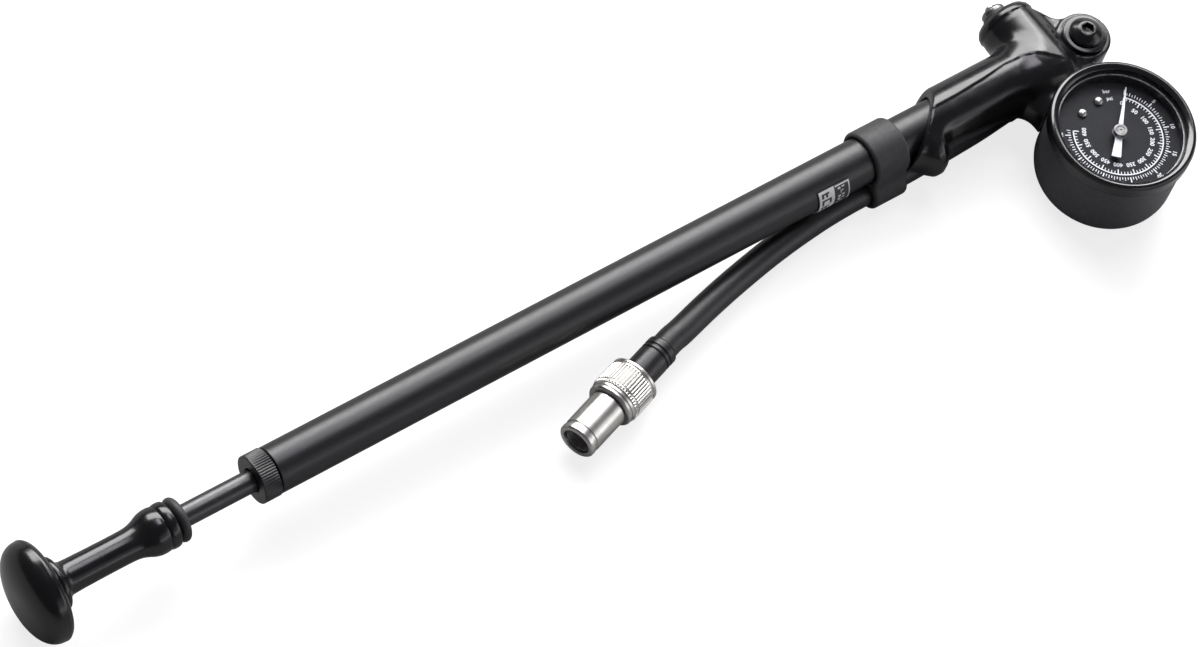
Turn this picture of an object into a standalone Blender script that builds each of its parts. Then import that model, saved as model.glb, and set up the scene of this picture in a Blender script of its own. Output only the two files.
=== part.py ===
"""High-pressure hand pump for bicycle suspension: plunger, barrel, head with gauge, hose and chuck.

Sizes below are millimetres; the mesh helpers turn them into metres. The pump lies gauge face up.
In the pump's own axes X runs along the barrel from its handle end (0 at the end cap's front face)
to the head, Z is up and 0 is the barrel's centre line. The empty "pump" carries those axes and
puts the world's origin under the middle of the pump, on the surface that it lies on.
"""

import math

import bmesh
import bpy
from mathutils import Matrix, Vector

MM = 0.001
GAP = 0.3
RIBBED, FINE, ROUND, SMALL, TINY = 56, 36, 26, 18, 12
SMOOTH_BELOW = math.radians(40)

# where the pump's axes lie in the world
AXIS_HEIGHT = 15.0
PUMP_ORIGIN = (-109.85, 14.25, AXIS_HEIGHT)

# barrel and end cap
BARREL_R, BORE_R = 6.8, 5.8
CAP_R, CAP_LENGTH, CAP_SPIGOT_END = 7.0, 5.4, 13.0
BARREL_START, BARREL_END = CAP_LENGTH + GAP, 244.8
KNURL_DEPTH = 0.22
ROD_R = 3.15
ROD_HOLE_R = 3.5

# plunger, drawn at rest a little way out
BUMPER_START, BUMPER_END, BUMPER_R = -24.3, -21.7, 6.2
GRIP_R, COLLAR_R = 4.6, 6.5
KNOB_R, KNOB_RIM_X, KNOB_TIP_X = 14.5, -64.4, -71.7
PISTON_START, PISTON_END = 208.0, 217.0
ROD_START, ROD_END = -52.0, 219.6

# head
SLEEVE_R, SLEEVE_START, SOCKET_END = 8.75, 215.4, 248.9
MOUTH_X, MOUTH_SLANT = 223.0, (1.0, -0.94, -0.35)
HOOK_ARC = (-150, 5)
CROSS_X, CROSS_R, CROSS_FAR_Y = 268.8, 9.3, 19.6
CROSS_BORE_R = 2.2
BOSS_X, BOSS_R, BOSS_TOP, BOSS_BOTTOM = 283.5, 7.9, 5.0, -5.2
BOLT_R = 3.0

# gauge
GAUGE_X, GAUGE_Y = 269.6, -32.6
CASE_R, CASE_WALL, CASE_TOP = 20.2, 1.0, 10.3
BEZEL_R, BEZEL_TOP, WINDOW_R = 21.0, 13.5, 18.4
DIAL_R, DIAL_TOP = 18.8, 8.0
POINTER_ZERO = math.radians(45.0)
PINION_R, SECTOR_R, GEAR_SPACING = 1.6, 7.9, 9.7
SECTOR_SIDE = math.radians(-100.0)
SECTOR_SWEEP = math.radians(52.0)
TAIL_LENGTH = 3.0
TUBE_R = 14.5

# hose, keeper and chuck
HOSE_R = 4.0
KEEPER_START, KEEPER_END = 203.0, 215.0
KEEPER_HOSE = (-5.0, -10.05)
KEEPER_LOOP, KEEPER_LOOP_R = (-5.1, -9.3), 5.7
CHUCK_MOUTH = (84.94, -30.84, -7.55)
CHUCK_ANGLE = math.radians(17.6)
FERRULE_START, FERRULE_END = 27.2, 39.4
HOSE_ROUTE = (
    (130.4, -16.8, -7.8),
    (142.0, -13.6, -8.4),
    (155.0, -10.5, -9.1),
    (170.0, -7.6, -9.7),
    (185.0, -5.7, -10.0),
    (197.0, -5.0, -10.05),
    (209.0, -5.0, -10.05),
    (220.0, -4.8, -10.2),
    (232.0, -4.2, -10.7),
    (245.0, -3.5, -10.9),
)
HEAD_FERRULE = ((256.5, -2.5, -10.6), (272.5, -1.0, -10.6))

MATERIALS = {
    "gloss_black": ((0.012, 0.012, 0.013), 0.16, 0.0),
    "anodised_black": ((0.018, 0.018, 0.02), 0.34, 0.6),
    "black_steel": ((0.02, 0.02, 0.022), 0.28, 0.8),
    "case_black": ((0.025, 0.025, 0.027), 0.42, 0.3),
    "rubber": ((0.03, 0.03, 0.033), 0.7, 0.0),
    "nickel": ((0.72, 0.7, 0.66), 0.22, 1.0),
    "steel": ((0.55, 0.55, 0.55), 0.35, 1.0),
    "brass": ((0.7, 0.52, 0.22), 0.35, 1.0),
    "dial_black": ((0.01, 0.01, 0.012), 0.5, 0.0),
    "white_print": ((0.85, 0.85, 0.85), 0.5, 0.0),
    "clear_lens": ((0.9, 0.93, 0.95), 0.05, 0.0),
}


# ---- helpers ----


def clear_scene():
    for old in list(bpy.data.objects):
        bpy.data.objects.remove(old)


def make_materials():
    made = {}
    for name, (colour, roughness, metallic) in MATERIALS.items():
        material = bpy.data.materials.new(name)
        material.use_nodes = True
        shader = material.node_tree.nodes["Principled BSDF"]
        shader.inputs["Base Color"].default_value = (*colour, 1.0)
        shader.inputs["Roughness"].default_value = roughness
        shader.inputs["Metallic"].default_value = metallic
        made[name] = material
    return made


def empty(name, at, parent=None):
    """An empty that carries a body; at is in the pump's axes, or in the world when it has no parent."""
    holder = bpy.data.objects.new(name, None)
    holder.location = Vector(at) * MM
    holder.parent = parent
    bpy.context.scene.collection.objects.link(holder)
    return holder


def turn_to(direction):
    """The shortest rotation that takes local Z to the direction; for X it takes local X to straight down."""
    return Vector((0, 0, 1)).rotation_difference(Vector(direction))


class Shop:
    """Makes objects in the pump's axes and hangs each on the empty of its body."""

    def __init__(self, pump, materials):
        self.pump = pump
        self.materials = materials
        self.holders = {None: (pump, Vector((0, 0, 0)))}

    def body(self, name, at):
        """A moving body's empty, on its joint's axis."""
        self.holders[name] = (empty(name + "_axis", at, self.pump), Vector(at))

    def add(self, name, bm, material, at=(0, 0, 0), direction=None, body=None):
        bmesh.ops.recalc_face_normals(bm, faces=bm.faces)
        mesh = bpy.data.meshes.new(name)
        bm.to_mesh(mesh)
        bm.free()
        mesh.transform(Matrix.Scale(MM, 4))
        mesh.shade_smooth()
        mesh.set_sharp_from_angle(angle=SMOOTH_BELOW)
        mesh.materials.append(self.materials[material])
        return self.place(bpy.data.objects.new(name, mesh), at, direction, body)

    def place(self, obj, at, direction=None, body=None):
        holder, origin = self.holders[body]
        obj.parent = holder
        obj.location = (Vector(at) - origin) * MM
        if direction is not None:
            obj.rotation_mode = "QUATERNION"
            obj.rotation_quaternion = turn_to(direction)
        bpy.context.scene.collection.objects.link(obj)
        return obj


def lathe(outline, segments=48, arc=None, knurled=(), knurl_depth=0.0):
    """Turns a closed outline of (along Z, radius) about Z, all round or through an arc of two angles.

    Outline points whose index is in knurled are drawn in by knurl_depth at every other segment.
    """
    bm = bmesh.new()
    start, end = arc or (0.0, math.tau)
    steps = segments if arc is None else segments + 1
    rings = []
    for index, (along, radius) in enumerate(outline):
        if radius <= 0:
            rings.append([bm.verts.new((0, 0, along))] * steps)
            continue
        ring = []
        for step in range(steps):
            angle = start + (end - start) * step / segments
            inset = knurl_depth if index in knurled and step % 2 else 0.0
            size = radius - inset
            ring.append(bm.verts.new((size * math.cos(angle), size * math.sin(angle), along)))
        rings.append(ring)
    for first, second in zip(rings, rings[1:] + rings[:1]):
        for step in range(steps if arc is None else steps - 1):
            ahead = (step + 1) % steps
            corners = [first[step], first[ahead], second[ahead], second[step]]
            distinct = list(dict.fromkeys(corners))
            if len(distinct) > 2:
                bm.faces.new(distinct)
    if arc is not None:
        bm.faces.new([ring[0] for ring in rings])
        bm.faces.new([ring[-1] for ring in rings])
    return bm


def prism(outline, bottom, top):
    """A straight prism on an outline of (x, y), from bottom to top along Z."""
    bm = bmesh.new()
    low = [bm.verts.new((x, y, bottom)) for x, y in outline]
    face = bm.faces.new(low)
    grown = bmesh.ops.extrude_face_region(bm, geom=[face])["geom"]
    moved = [item for item in grown if isinstance(item, bmesh.types.BMVert)]
    bmesh.ops.translate(bm, verts=moved, vec=(0, 0, top - bottom))
    return bm


def box(low, high):
    outline = ((low[0], low[1]), (high[0], low[1]), (high[0], high[1]), (low[0], high[1]))
    return prism(outline, low[2], high[2])


def rod(radius, length):
    """Outline of a plain cylinder from 0 to length."""
    return ((0, 0), (0, radius), (length, radius), (length, 0))


def tube(inner, outer, start, end):
    """Outline of a plain tube."""
    return ((start, inner), (start, outer), (end, outer), (end, inner))


def boolean(target, operation, tool):
    """Joins or cuts with a hidden helper object."""
    tool.hide_render = True
    tool.display_type = "WIRE"
    change = target.modifiers.new(tool.name, "BOOLEAN")
    change.operation = operation
    change.object = tool
    change.solver = "EXACT"


def arc_points(centre, radius, start, end, count):
    """Points on an arc about (x, y), angles in degrees."""
    angles = [math.radians(start + (end - start) * i / (count - 1)) for i in range(count)]
    return [(centre[0] + radius * math.cos(a), centre[1] + radius * math.sin(a)) for a in angles]


def spread(start, end, count):
    return [start + (end - start) * i / (count - 1) for i in range(count)]


def wire(shop, name, points, radius, material, sides=3, body=None):
    """A round bar along the points, with closed ends; its points are in the pump's axes."""
    origin = shop.holders[body][1]
    curve = bpy.data.curves.new(name, "CURVE")
    curve.dimensions = "3D"
    curve.bevel_depth = radius * MM
    curve.bevel_resolution = sides
    curve.use_fill_caps = True
    line = curve.splines.new("POLY")
    line.points.add(len(points) - 1)
    for spot, point in zip(line.points, points):
        spot.co = (*((Vector(point) - origin) * MM), 1.0)
    curve.materials.append(shop.materials[material])
    return shop.place(bpy.data.objects.new(name, curve), origin, body=body)


def helix(start, axis, side, radius, length, turns, per_turn=10):
    """Points along a coil spring from start, along axis; side is the direction of its first point."""
    along = Vector(axis).normalized()
    across = Vector(side).normalized()
    third = along.cross(across)
    count = int(turns * per_turn)
    points = []
    for i in range(count + 1):
        angle = math.tau * i / per_turn
        offset = across * math.cos(angle) + third * math.sin(angle)
        points.append(Vector(start) + along * (length * i / count) + offset * radius)
    return points


def smooth_route(knots, spacing):
    """Evenly spaced points on a Catmull-Rom curve through the knots."""
    knots = [Vector(knot) for knot in knots]
    ends = [2 * knots[0] - knots[1], *knots, 2 * knots[-1] - knots[-2]]
    fine = []
    for a, b, c, d in zip(ends, ends[1:], ends[2:], ends[3:]):
        for t in spread(0.0, 0.95, 20):
            blend = 2 * b + (c - a) * t + (2 * a - 5 * b + 4 * c - d) * t**2
            fine.append(0.5 * (blend + (3 * b - 3 * c + d - a) * t**3))
    fine.append(knots[-1])
    lengths = [0.0]
    for a, b in zip(fine, fine[1:]):
        lengths.append(lengths[-1] + (b - a).length)
    count = max(2, round(lengths[-1] / spacing) + 1)
    points = []
    for target in spread(0.0, lengths[-1], count):
        i = max(1, next((n for n, s in enumerate(lengths) if s >= target - 1e-9), len(fine) - 1))
        share = (target - lengths[i - 1]) / (lengths[i] - lengths[i - 1])
        points.append(fine[i - 1].lerp(fine[i], share))
    return points


# ---- barrel and end cap ----

ALONG_X = (1, 0, 0)


def barrel(shop):
    outline = tube(BORE_R, BARREL_R, BARREL_START, BARREL_END)
    shop.add("barrel", lathe(outline, FINE), "anodised_black", direction=ALONG_X)


def barrel_label(shop):
    outline = tube(BARREL_R + GAP, BARREL_R + GAP + 0.15, 183.0, 194.0)
    # about X, the lathe's angle 0 points straight down and -90 degrees to the pump's front
    bm = lathe(outline, 14, arc=(math.radians(-138), math.radians(-35)))
    shop.add("barrel_label", bm, "white_print", direction=ALONG_X)


def end_cap(shop):
    seat_r, spigot_r = 4.6, BORE_R - GAP
    outline = (
        (0.0, ROD_HOLE_R),
        (0.0, CAP_R - 0.4),
        (0.4, CAP_R),
        (CAP_LENGTH, CAP_R),
        (CAP_LENGTH, spigot_r),
        (CAP_SPIGOT_END, spigot_r),
        (CAP_SPIGOT_END, seat_r),
        (3.0, seat_r),
        (3.0, ROD_HOLE_R),
    )
    bm = lathe(outline, RIBBED, knurled=(2, 3), knurl_depth=KNURL_DEPTH)
    shop.add("end_cap", bm, "anodised_black", direction=ALONG_X)
    guide_in, guide_out = ROD_R + GAP, seat_r - GAP
    wiper = lathe(tube(guide_in, guide_out, 3.3, 5.6), SMALL)
    shop.add("rod_wiper", wiper, "rubber", direction=ALONG_X)
    bush = lathe(tube(guide_in, guide_out, 5.9, CAP_SPIGOT_END), SMALL)
    shop.add("rod_bush", bush, "brass", direction=ALONG_X)


# ---- plunger ----


def piston_rod(shop):
    nut_seat_r = 2.0
    outline = (
        (ROD_START, 0),
        (ROD_START, ROD_R),
        (PISTON_START - GAP, ROD_R),
        (PISTON_START - GAP, nut_seat_r),
        (ROD_END, nut_seat_r),
        (ROD_END, 0),
    )
    shop.add("piston_rod", lathe(outline, SMALL), "black_steel", direction=ALONG_X, body="handle")


def piston(shop):
    bore, skirt, groove = 2.3, 5.3, 4.2
    outline = (
        (PISTON_START, bore),
        (PISTON_START, skirt),
        (PISTON_START + 3.5, skirt),
        (PISTON_START + 3.5, groove),
        (PISTON_START + 6.3, groove),
        (PISTON_START + 6.3, skirt),
        (PISTON_END, skirt),
        (PISTON_END, bore),
    )
    shop.add("piston", lathe(outline, SMALL), "gloss_black", direction=ALONG_X, body="handle")
    ring = tube(groove + GAP, BORE_R - GAP, PISTON_START + 3.8, PISTON_START + 6.0)
    shop.add("piston_ring", lathe(ring, SMALL), "rubber", direction=ALONG_X, body="plunger")
    hexagon = [(3.4 * math.cos(a), 3.4 * math.sin(a)) for a in spread(0, math.tau * 5 / 6, 6)]
    nut = prism(hexagon, PISTON_END + GAP, ROD_END - 0.3)
    made = shop.add("piston_nut", nut, "steel", direction=ALONG_X, body="handle")
    at = (PISTON_END - 1, 0, 0)
    hole = shop.add("piston_nut_hole", lathe(rod(bore, 6.0), SMALL), "steel", at, ALONG_X)
    boolean(made, "DIFFERENCE", hole)


def handle(shop):
    outline = [(-68.0, 0), (-68.0, 4.0), (-63.6, 4.0), (-63.6, 7.4), (-62.4, 7.7), (-61.6, 7.2)]
    outline += [(-61.0, 5.4), (-59.5, GRIP_R + 0.1), (-38.0, GRIP_R), (-35.2, GRIP_R + 0.3)]
    outline += [(-33.6, 5.3), (-32.2, 6.1), (-30.6, COLLAR_R), (-29.0, 6.4), (-28.0, 5.9)]
    outline += [(-27.6, 6.15), (-26.8, 6.35), (-25.8, 6.3), (-25.0, 5.9), (BUMPER_START - GAP, 5.3)]
    outline += [(BUMPER_START - GAP, ROD_R + GAP), (ROD_START - GAP, ROD_R + GAP), (ROD_START - GAP, 0)]
    shop.add("handle_grip", lathe(outline, ROUND), "gloss_black", direction=ALONG_X, body="handle")


def knob(shop):
    depth = KNOB_RIM_X - KNOB_TIP_X
    outline = [(KNOB_TIP_X, 0)]
    for share in (0.35, 0.62, 0.82, 0.95, 1.0):
        outline.append((KNOB_RIM_X - depth * (1 - share**2.5) ** 0.42, KNOB_R * share))
    outline += [(-63.2, KNOB_R - 0.2), (-62.3, KNOB_R - 1.0), (-61.9, KNOB_R - 2.4), (-62.8, 9.5)]
    outline += [(-63.9, 7.6), (-63.9, 4.3), (-68.3, 4.3), (-68.3, 0)]
    shop.add("knob", lathe(outline, FINE), "gloss_black", direction=ALONG_X, body="handle")


def handle_bumper(shop):
    middle = (BUMPER_START + BUMPER_END) / 2
    half = (BUMPER_END - BUMPER_START) / 2
    outline = [(BUMPER_END, ROD_R + GAP), (BUMPER_START, ROD_R + GAP)]
    for angle in spread(180, 0, 7):
        a = math.radians(angle)
        outline.append((middle + half * math.cos(a), BUMPER_R - half + half * math.sin(a)))
    shop.add("handle_bumper", lathe(outline, ROUND), "rubber", direction=ALONG_X, body="handle")


# ---- head ----


def head_solid(shop, name, bm, at=(0, 0, 0), direction=None):
    """One shape of the head, turned a little by its name so that round shapes' edges don't meet."""
    bmesh.ops.rotate(bm, verts=bm.verts, matrix=Matrix.Rotation(0.013 * len(name), 3, "Z"))
    return shop.add(name, bm, "gloss_black", at, direction)


def hook(outline, base, start, end):
    """A fin on a round sleeve along Z, highest midway round its arc of degrees and gone at its ends."""
    bm = lathe(outline, 14, arc=(math.radians(start), math.radians(end)))
    for vert in bm.verts:
        size = math.hypot(vert.co.x, vert.co.y)
        share = (math.degrees(math.atan2(vert.co.y, vert.co.x)) - start) / (end - start)
        height = 0.12 + 0.88 * math.sin(math.pi * share)
        grown = base + max(0.0, size - base) * height
        vert.co.x *= grown / size if size > base else 1.0
        vert.co.y *= grown / size if size > base else 1.0
    return bm


def head(shop):
    sleeve = lathe(rod(SLEEVE_R, 264.0 - SLEEVE_START), ROUND)
    made = head_solid(shop, "head", sleeve, (SLEEVE_START, 0, 0), ALONG_X)
    fin = ((230.5, 8.0), (227.8, 8.8), (226.8, 10.6), (225.4, 13.0), (223.8, 13.9), (222.2, 13.9))
    fin += ((220.6, 12.8), (218.9, 11.3), (217.0, 9.2), (216.2, 8.4), (216.2, 7.4), (230.5, 7.4))
    far = [(0, 0), (0, CROSS_R - 3.2), (0.8, CROSS_R - 1.6), (2.4, CROSS_R - 0.4), (4.4, CROSS_R)]
    cross = far + [(27.0, CROSS_R), (30.0, CROSS_R - 0.8), (31.4, CROSS_R - 2.2), (31.4, 0)]
    boss = ((0, 0), (0, BOSS_R), (9.6, BOSS_R), (10.2, BOSS_R - 0.7), (10.2, 0))
    webs = ((264.0, 11.5), (276.8, 11.3), (278.2, 9.4), (280.4, 7.9), (283.5, 7.3))
    webs += ((285.0, 6.4), (285.0, -6.4), (283.0, -6.9), (264.0, -7.5))
    fin_shape = hook(fin, 7.4, *HOOK_ARC)
    shapes = (
        shop.add("head_hook", fin_shape, "gloss_black", direction=ALONG_X),
        head_solid(
            shop, "head_cross", lathe(cross, ROUND), (CROSS_X, CROSS_FAR_Y, 0), (0, -1, 0)
        ),
        head_solid(
            shop, "head_neck", lathe(rod(7.6, 19.6), ROUND), (263.4, 6.0, -0.3), (0, -1, 0)
        ),
        head_solid(shop, "head_boss", lathe(boss, ROUND), (BOSS_X, 0, BOSS_BOTTOM), (0, 0, 1)),
        shop.add("head_webs", prism(webs, -3.4, 4.1), "gloss_black"),
    )
    for shape in shapes:
        boolean(made, "UNION", shape)
    slant = Vector(MOUTH_SLANT).normalized()
    reach = 60.0
    cuts = (
        ("mouth_cut", rod(30.0, reach), Vector((MOUTH_X, 0, 0)) - slant * reach, slant),
        ("socket_cut", rod(BARREL_R + GAP, SOCKET_END - 210.0), (210.0, 0, 0), ALONG_X),
        ("check_cut", rod(2.9, 6.5), (SOCKET_END - 1.0, 0, 0), ALONG_X),
        ("passage_cut", rod(1.1, 34.0), (SOCKET_END + 1.0, 0, 0), ALONG_X),
        ("cross_bore_cut", rod(CROSS_BORE_R, 18.0), (CROSS_X, -7.0, 0), (0, 1, 0)),
        ("gauge_stem_cut", rod(4.3, 10.0), (CROSS_X, -5.0, 0), (0, -1, 0)),
        ("bleed_cut", rod(3.6, 12.0), (CROSS_X, CROSS_FAR_Y - 9.3, 0), (0, 1, 0)),
        ("boss_cut", rod(BOLT_R + GAP, 20.0), (BOSS_X, 0, -10.0), (0, 0, 1)),
        ("case_cut", rod(BEZEL_R + 0.5, 50.0), (GAUGE_X, GAUGE_Y, -20.0), (0, 0, 1)),
    )
    for name, outline, at, direction in cuts:
        boolean(made, "DIFFERENCE", head_solid(shop, name, lathe(outline, SMALL), at, direction))
    start, end = (Vector(HEAD_FERRULE[0]), Vector(HEAD_FERRULE[1]))
    along = (end - start).normalized()
    ferrule_cut = lathe(rod(4.8, 50.0), SMALL)
    room = head_solid(shop, "ferrule_cut", ferrule_cut, start - along * 8, along)
    boolean(made, "DIFFERENCE", room)
    hose_cut = lathe(rod(HOSE_R + 1.5 * GAP, 66.0), SMALL)
    lane_start = Vector((210.0, -5.1, -10.3))
    lane = Vector((256.0, -2.9, -11.05)) - lane_start
    boolean(made, "DIFFERENCE", head_solid(shop, "hose_cut", hose_cut, lane_start, lane))


def head_seal(shop):
    outline = tube(5.4, BARREL_R, BARREL_END + GAP, BARREL_END + GAP + 1.2)
    shop.add("head_seal", lathe(outline, ROUND), "rubber", direction=ALONG_X)


def check_valve(shop):
    """Lets air from the barrel into the head and holds it there."""
    seat_start, seat_end = BARREL_END + 1.8, SOCKET_END - GAP
    seat = tube(1.1, BARREL_R, seat_start, seat_end)
    shop.add("check_valve_seat", lathe(seat, ROUND), "brass", direction=ALONG_X)
    poppet = lathe(((0, 0), (0, 2.3), (0.8, 2.3), (0.8, 0.8), (3.0, 0.8), (3.0, 0)), SMALL)
    at = (SOCKET_END, 0, 0)
    shop.add("check_valve_poppet", poppet, "rubber", at, ALONG_X, "check_valve")
    points = helix((SOCKET_END + 1.35, 0, 0), ALONG_X, (0, 1, 0), 1.7, 3.6, 4)
    wire(shop, "check_valve_spring", points, 0.22, "steel", 1, "check_valve")


def bleed_valve(shop):
    """Push-in release valve on the head's far end."""
    collar_start = CROSS_FAR_Y + GAP
    body = (
        (-8.0, 1.0),
        (-8.0, 3.3),
        (0.0, 3.3),
        (0.0, 3.7),
        (0.8, 3.7),
        (1.1, 3.0),
        (3.0, 2.9),
        (3.4, 2.5),
        (3.4, 1.9),
        (-6.0, 1.9),
        (-6.0, 1.0),
    )
    shop.add("bleed_valve_body", lathe(body, SMALL), "nickel", (CROSS_X, collar_start, 0), (0, 1, 0))
    plunger = (
        (-9.2, 0),
        (-9.2, 1.7),
        (-8.3, 1.7),
        (-8.3, 0.7),
        (-1.8, 0.7),
        (-1.8, 1.6),
        (4.6, 1.6),
        (5.0, 1.3),
        (5.2, 0),
    )
    at = (CROSS_X, collar_start, 0)
    shop.add("bleed_button", lathe(plunger, SMALL), "nickel", at, (0, 1, 0), "bleed_button")
    points = helix((CROSS_X, collar_start - 5.4, 0), (0, 1, 0), ALONG_X, 1.3, 3.0, 4)
    wire(shop, "bleed_spring", points, 0.2, "steel", 1, "bleed_button")


# ---- swivel joint of the hose ----


def swivel(shop):
    washer = tube(BOLT_R + GAP, 5.7, BOSS_TOP + GAP, BOSS_TOP + GAP + 1.0)
    centre = (BOSS_X, 0, 0)
    shop.add("swivel_washer", lathe(washer, ROUND), "black_steel", centre, (0, 0, 1))
    top = BOSS_TOP + 2 * GAP + 1.0
    bolt = ((-14.0, 0), (-14.0, BOLT_R), (-4.0, BOLT_R), (-4.0, 2.3), (-2.3, 2.3), (-2.3, BOLT_R))
    bolt += ((1.8, BOLT_R), (1.8, 2.3), (3.5, 2.3), (3.5, BOLT_R), (top, BOLT_R), (top, 4.5))
    bolt += ((top + 0.6, 4.5), (top + 1.5, 4.0), (top + 2.2, 3.1), (top + 2.5, 2.1), (top + 2.6, 0))
    made = shop.add("swivel_bolt", lathe(bolt, ROUND), "black_steel", centre, (0, 0, 1))
    hexagon = [(1.45 * math.cos(a), 1.45 * math.sin(a)) for a in spread(0, math.tau * 5 / 6, 6)]
    socket = shop.add("swivel_bolt_socket", prism(hexagon, top + 0.8, top + 5), "black_steel", centre)
    boolean(made, "DIFFERENCE", socket)
    for name, low in (("swivel_seal_upper", 2.1), ("swivel_seal_lower", -3.7)):
        shop.add(name, lathe(tube(2.6, 3.05, low, low + 1.1), SMALL), "rubber", centre, (0, 0, 1))


def swivel_fitting(shop):
    top, bottom, r = BOSS_BOTTOM - GAP, -14.9, 6.4
    outline = ((bottom, 0), (bottom, r - 0.5), (bottom + 0.5, r), (top - 0.5, r), (top, r - 0.5))
    outline += ((top, BOLT_R + GAP), (-14.3, BOLT_R + GAP), (-14.3, 0))
    made = shop.add("swivel_fitting", lathe(outline, ROUND), "nickel", (BOSS_X, 0, 0), (0, 0, 1))
    start, end = (Vector(point) for point in HEAD_FERRULE)
    along = (start - end).normalized()
    root = end - along * 7.0
    barb = shop.add("swivel_barb", lathe(rod(2.2, 21.0), SMALL), "nickel", root, along)
    boolean(made, "UNION", barb)
    clear = lathe(rod(BOLT_R + GAP, 8.8), ROUND)
    again = shop.add("swivel_clear", clear, "nickel", (BOSS_X, 0, -14.3), (0, 0, 1))
    boolean(made, "DIFFERENCE", again)
    ferrule = ((0, 2.5), (0, 4.1), (0.5, 4.3), (15.5, 4.3), (16.0, 4.1), (16.0, 2.5))
    shop.add("hose_ferrule_head", lathe(ferrule, ROUND), "anodised_black", end + along * 0.15, along)


# ---- gauge ----


def gauge_point(x, y, z=0.0):
    """A point given from the gauge's centre line, in the pump's axes."""
    return (GAUGE_X + x, GAUGE_Y + y, z)


def gauge_case(shop):
    floor = -AXIS_HEIGHT
    outside = [(floor, 0), (floor, 15.0)]
    outside += [(-14.2, 16.9), (-12.7, 18.5), (-11.0, 19.5), (-9.0, 20.0), (CASE_TOP, CASE_R)]
    inside = [(CASE_TOP, CASE_R - CASE_WALL), (-9.0, 19.0), (-11.2, 17.9), (-13.8, 15.0), (-13.8, 0)]
    made = shop.add("gauge_case", lathe(outside + inside, FINE), "case_black", gauge_point(0, 0), (0, 0, 1))
    hole = shop.add("case_hole", lathe(rod(4.6, 8.0), SMALL), "case_black", (CROSS_X, -10.0, 0), (0, -1, 0))
    boolean(made, "DIFFERENCE", hole)


def bezel(shop):
    fold = CASE_R + GAP
    outline = ((8.4, fold), (8.6, 20.75), (9.3, BEZEL_R), (12.4, BEZEL_R), (13.2, 20.6))
    outline += ((BEZEL_TOP, 19.9), (13.3, 19.2), (12.9, 18.6), (12.6, WINDOW_R), (12.6, fold))
    shop.add("gauge_bezel", lathe(outline, FINE), "gloss_black", gauge_point(0, 0), (0, 0, 1))
    lens = ((11.2, 0), (11.2, CASE_R), (12.3, CASE_R), (12.3, 0))
    shop.add("gauge_lens", lathe(lens, FINE), "clear_lens", gauge_point(0, 0), (0, 0, 1))
    gasket = tube(18.8, CASE_R, CASE_TOP + 0.2, 11.0)
    shop.add("lens_gasket", lathe(gasket, ROUND), "rubber", gauge_point(0, 0), (0, 0, 1))


def dial(shop):
    outline = ((DIAL_TOP - 0.6, 1.2), (DIAL_TOP - 0.6, DIAL_R), (DIAL_TOP, DIAL_R), (DIAL_TOP, 1.2))
    made = shop.add("gauge_dial", lathe(outline, FINE), "dial_black", gauge_point(0, 0), (0, 0, 1))
    for side, degrees in (("right", 81.5), ("left", 114.5)):
        angle = math.radians(degrees)
        spot = gauge_point(11.9 * math.cos(angle), 11.9 * math.sin(angle))
        hole = shop.add(f"dial_hole_{side}", lathe(rod(0.8, 3.0), TINY), "dial_black", (*spot[:2], 6.5))
        boolean(made, "DIFFERENCE", hole)
        head_z = DIAL_TOP + GAP
        pin = ((head_z - 3.3, 0), (head_z - 3.3, 0.5), (head_z, 0.5), (head_z, 1.0))
        pin += ((head_z + 0.5, 0.95), (head_z + 0.8, 0.6), (head_z + 0.9, 0))
        shop.add(f"dial_stop_pin_{side}", lathe(pin, TINY), "nickel", spot, (0, 0, 1))


def pointer(shop):
    hub, eye = 2.1, 1.0
    long_side = [(15.6, 0.12), (2.4, 0.62)]
    waist = arc_points((0, 0), hub, 25, 150, 8)
    tail = [(-8.4, 1.35)]
    upper = long_side + waist + tail
    outline = upper + [(x, -y) for x, y in reversed(upper)]
    bm = prism(outline, DIAL_TOP + 1.3, DIAL_TOP + 1.7)
    bmesh.ops.rotate(bm, verts=bm.verts, matrix=Matrix.Rotation(POINTER_ZERO, 3, "Z"))
    centre = gauge_point(0, 0)
    made = shop.add("pointer", bm, "white_print", centre, body="pointer")
    hole = shop.add("pointer_eye", lathe(rod(eye, 3.0), TINY), "white_print", gauge_point(0, 0, DIAL_TOP))
    boolean(made, "DIFFERENCE", hole)
    top = DIAL_TOP + 2.9
    shaft = ((-2.6, 0), (-2.6, 0.6), (top - 0.9, 0.6), (top - 0.9, 2.1), (top - 0.3, 2.1))
    shaft += ((top, 1.8), (top, 0))
    shop.add("pointer_shaft", lathe(shaft, SMALL), "steel", centre, (0, 0, 1), "pointer")


def tooth_ring(radius, depth, count, start, sweep):
    """Outline points of teeth on an arc: each tooth is a root pair and a tip pair."""
    points = []
    pitch = sweep / count
    for tooth in range(count):
        for share, size in ((0.05, radius - depth), (0.45, radius - depth), (0.6, radius), (0.9, radius)):
            angle = start + pitch * (tooth + share)
            points.append((size * math.cos(angle), size * math.sin(angle)))
    return points


def sector_pivot():
    return (GEAR_SPACING * math.cos(SECTOR_SIDE), GEAR_SPACING * math.sin(SECTOR_SIDE))


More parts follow.
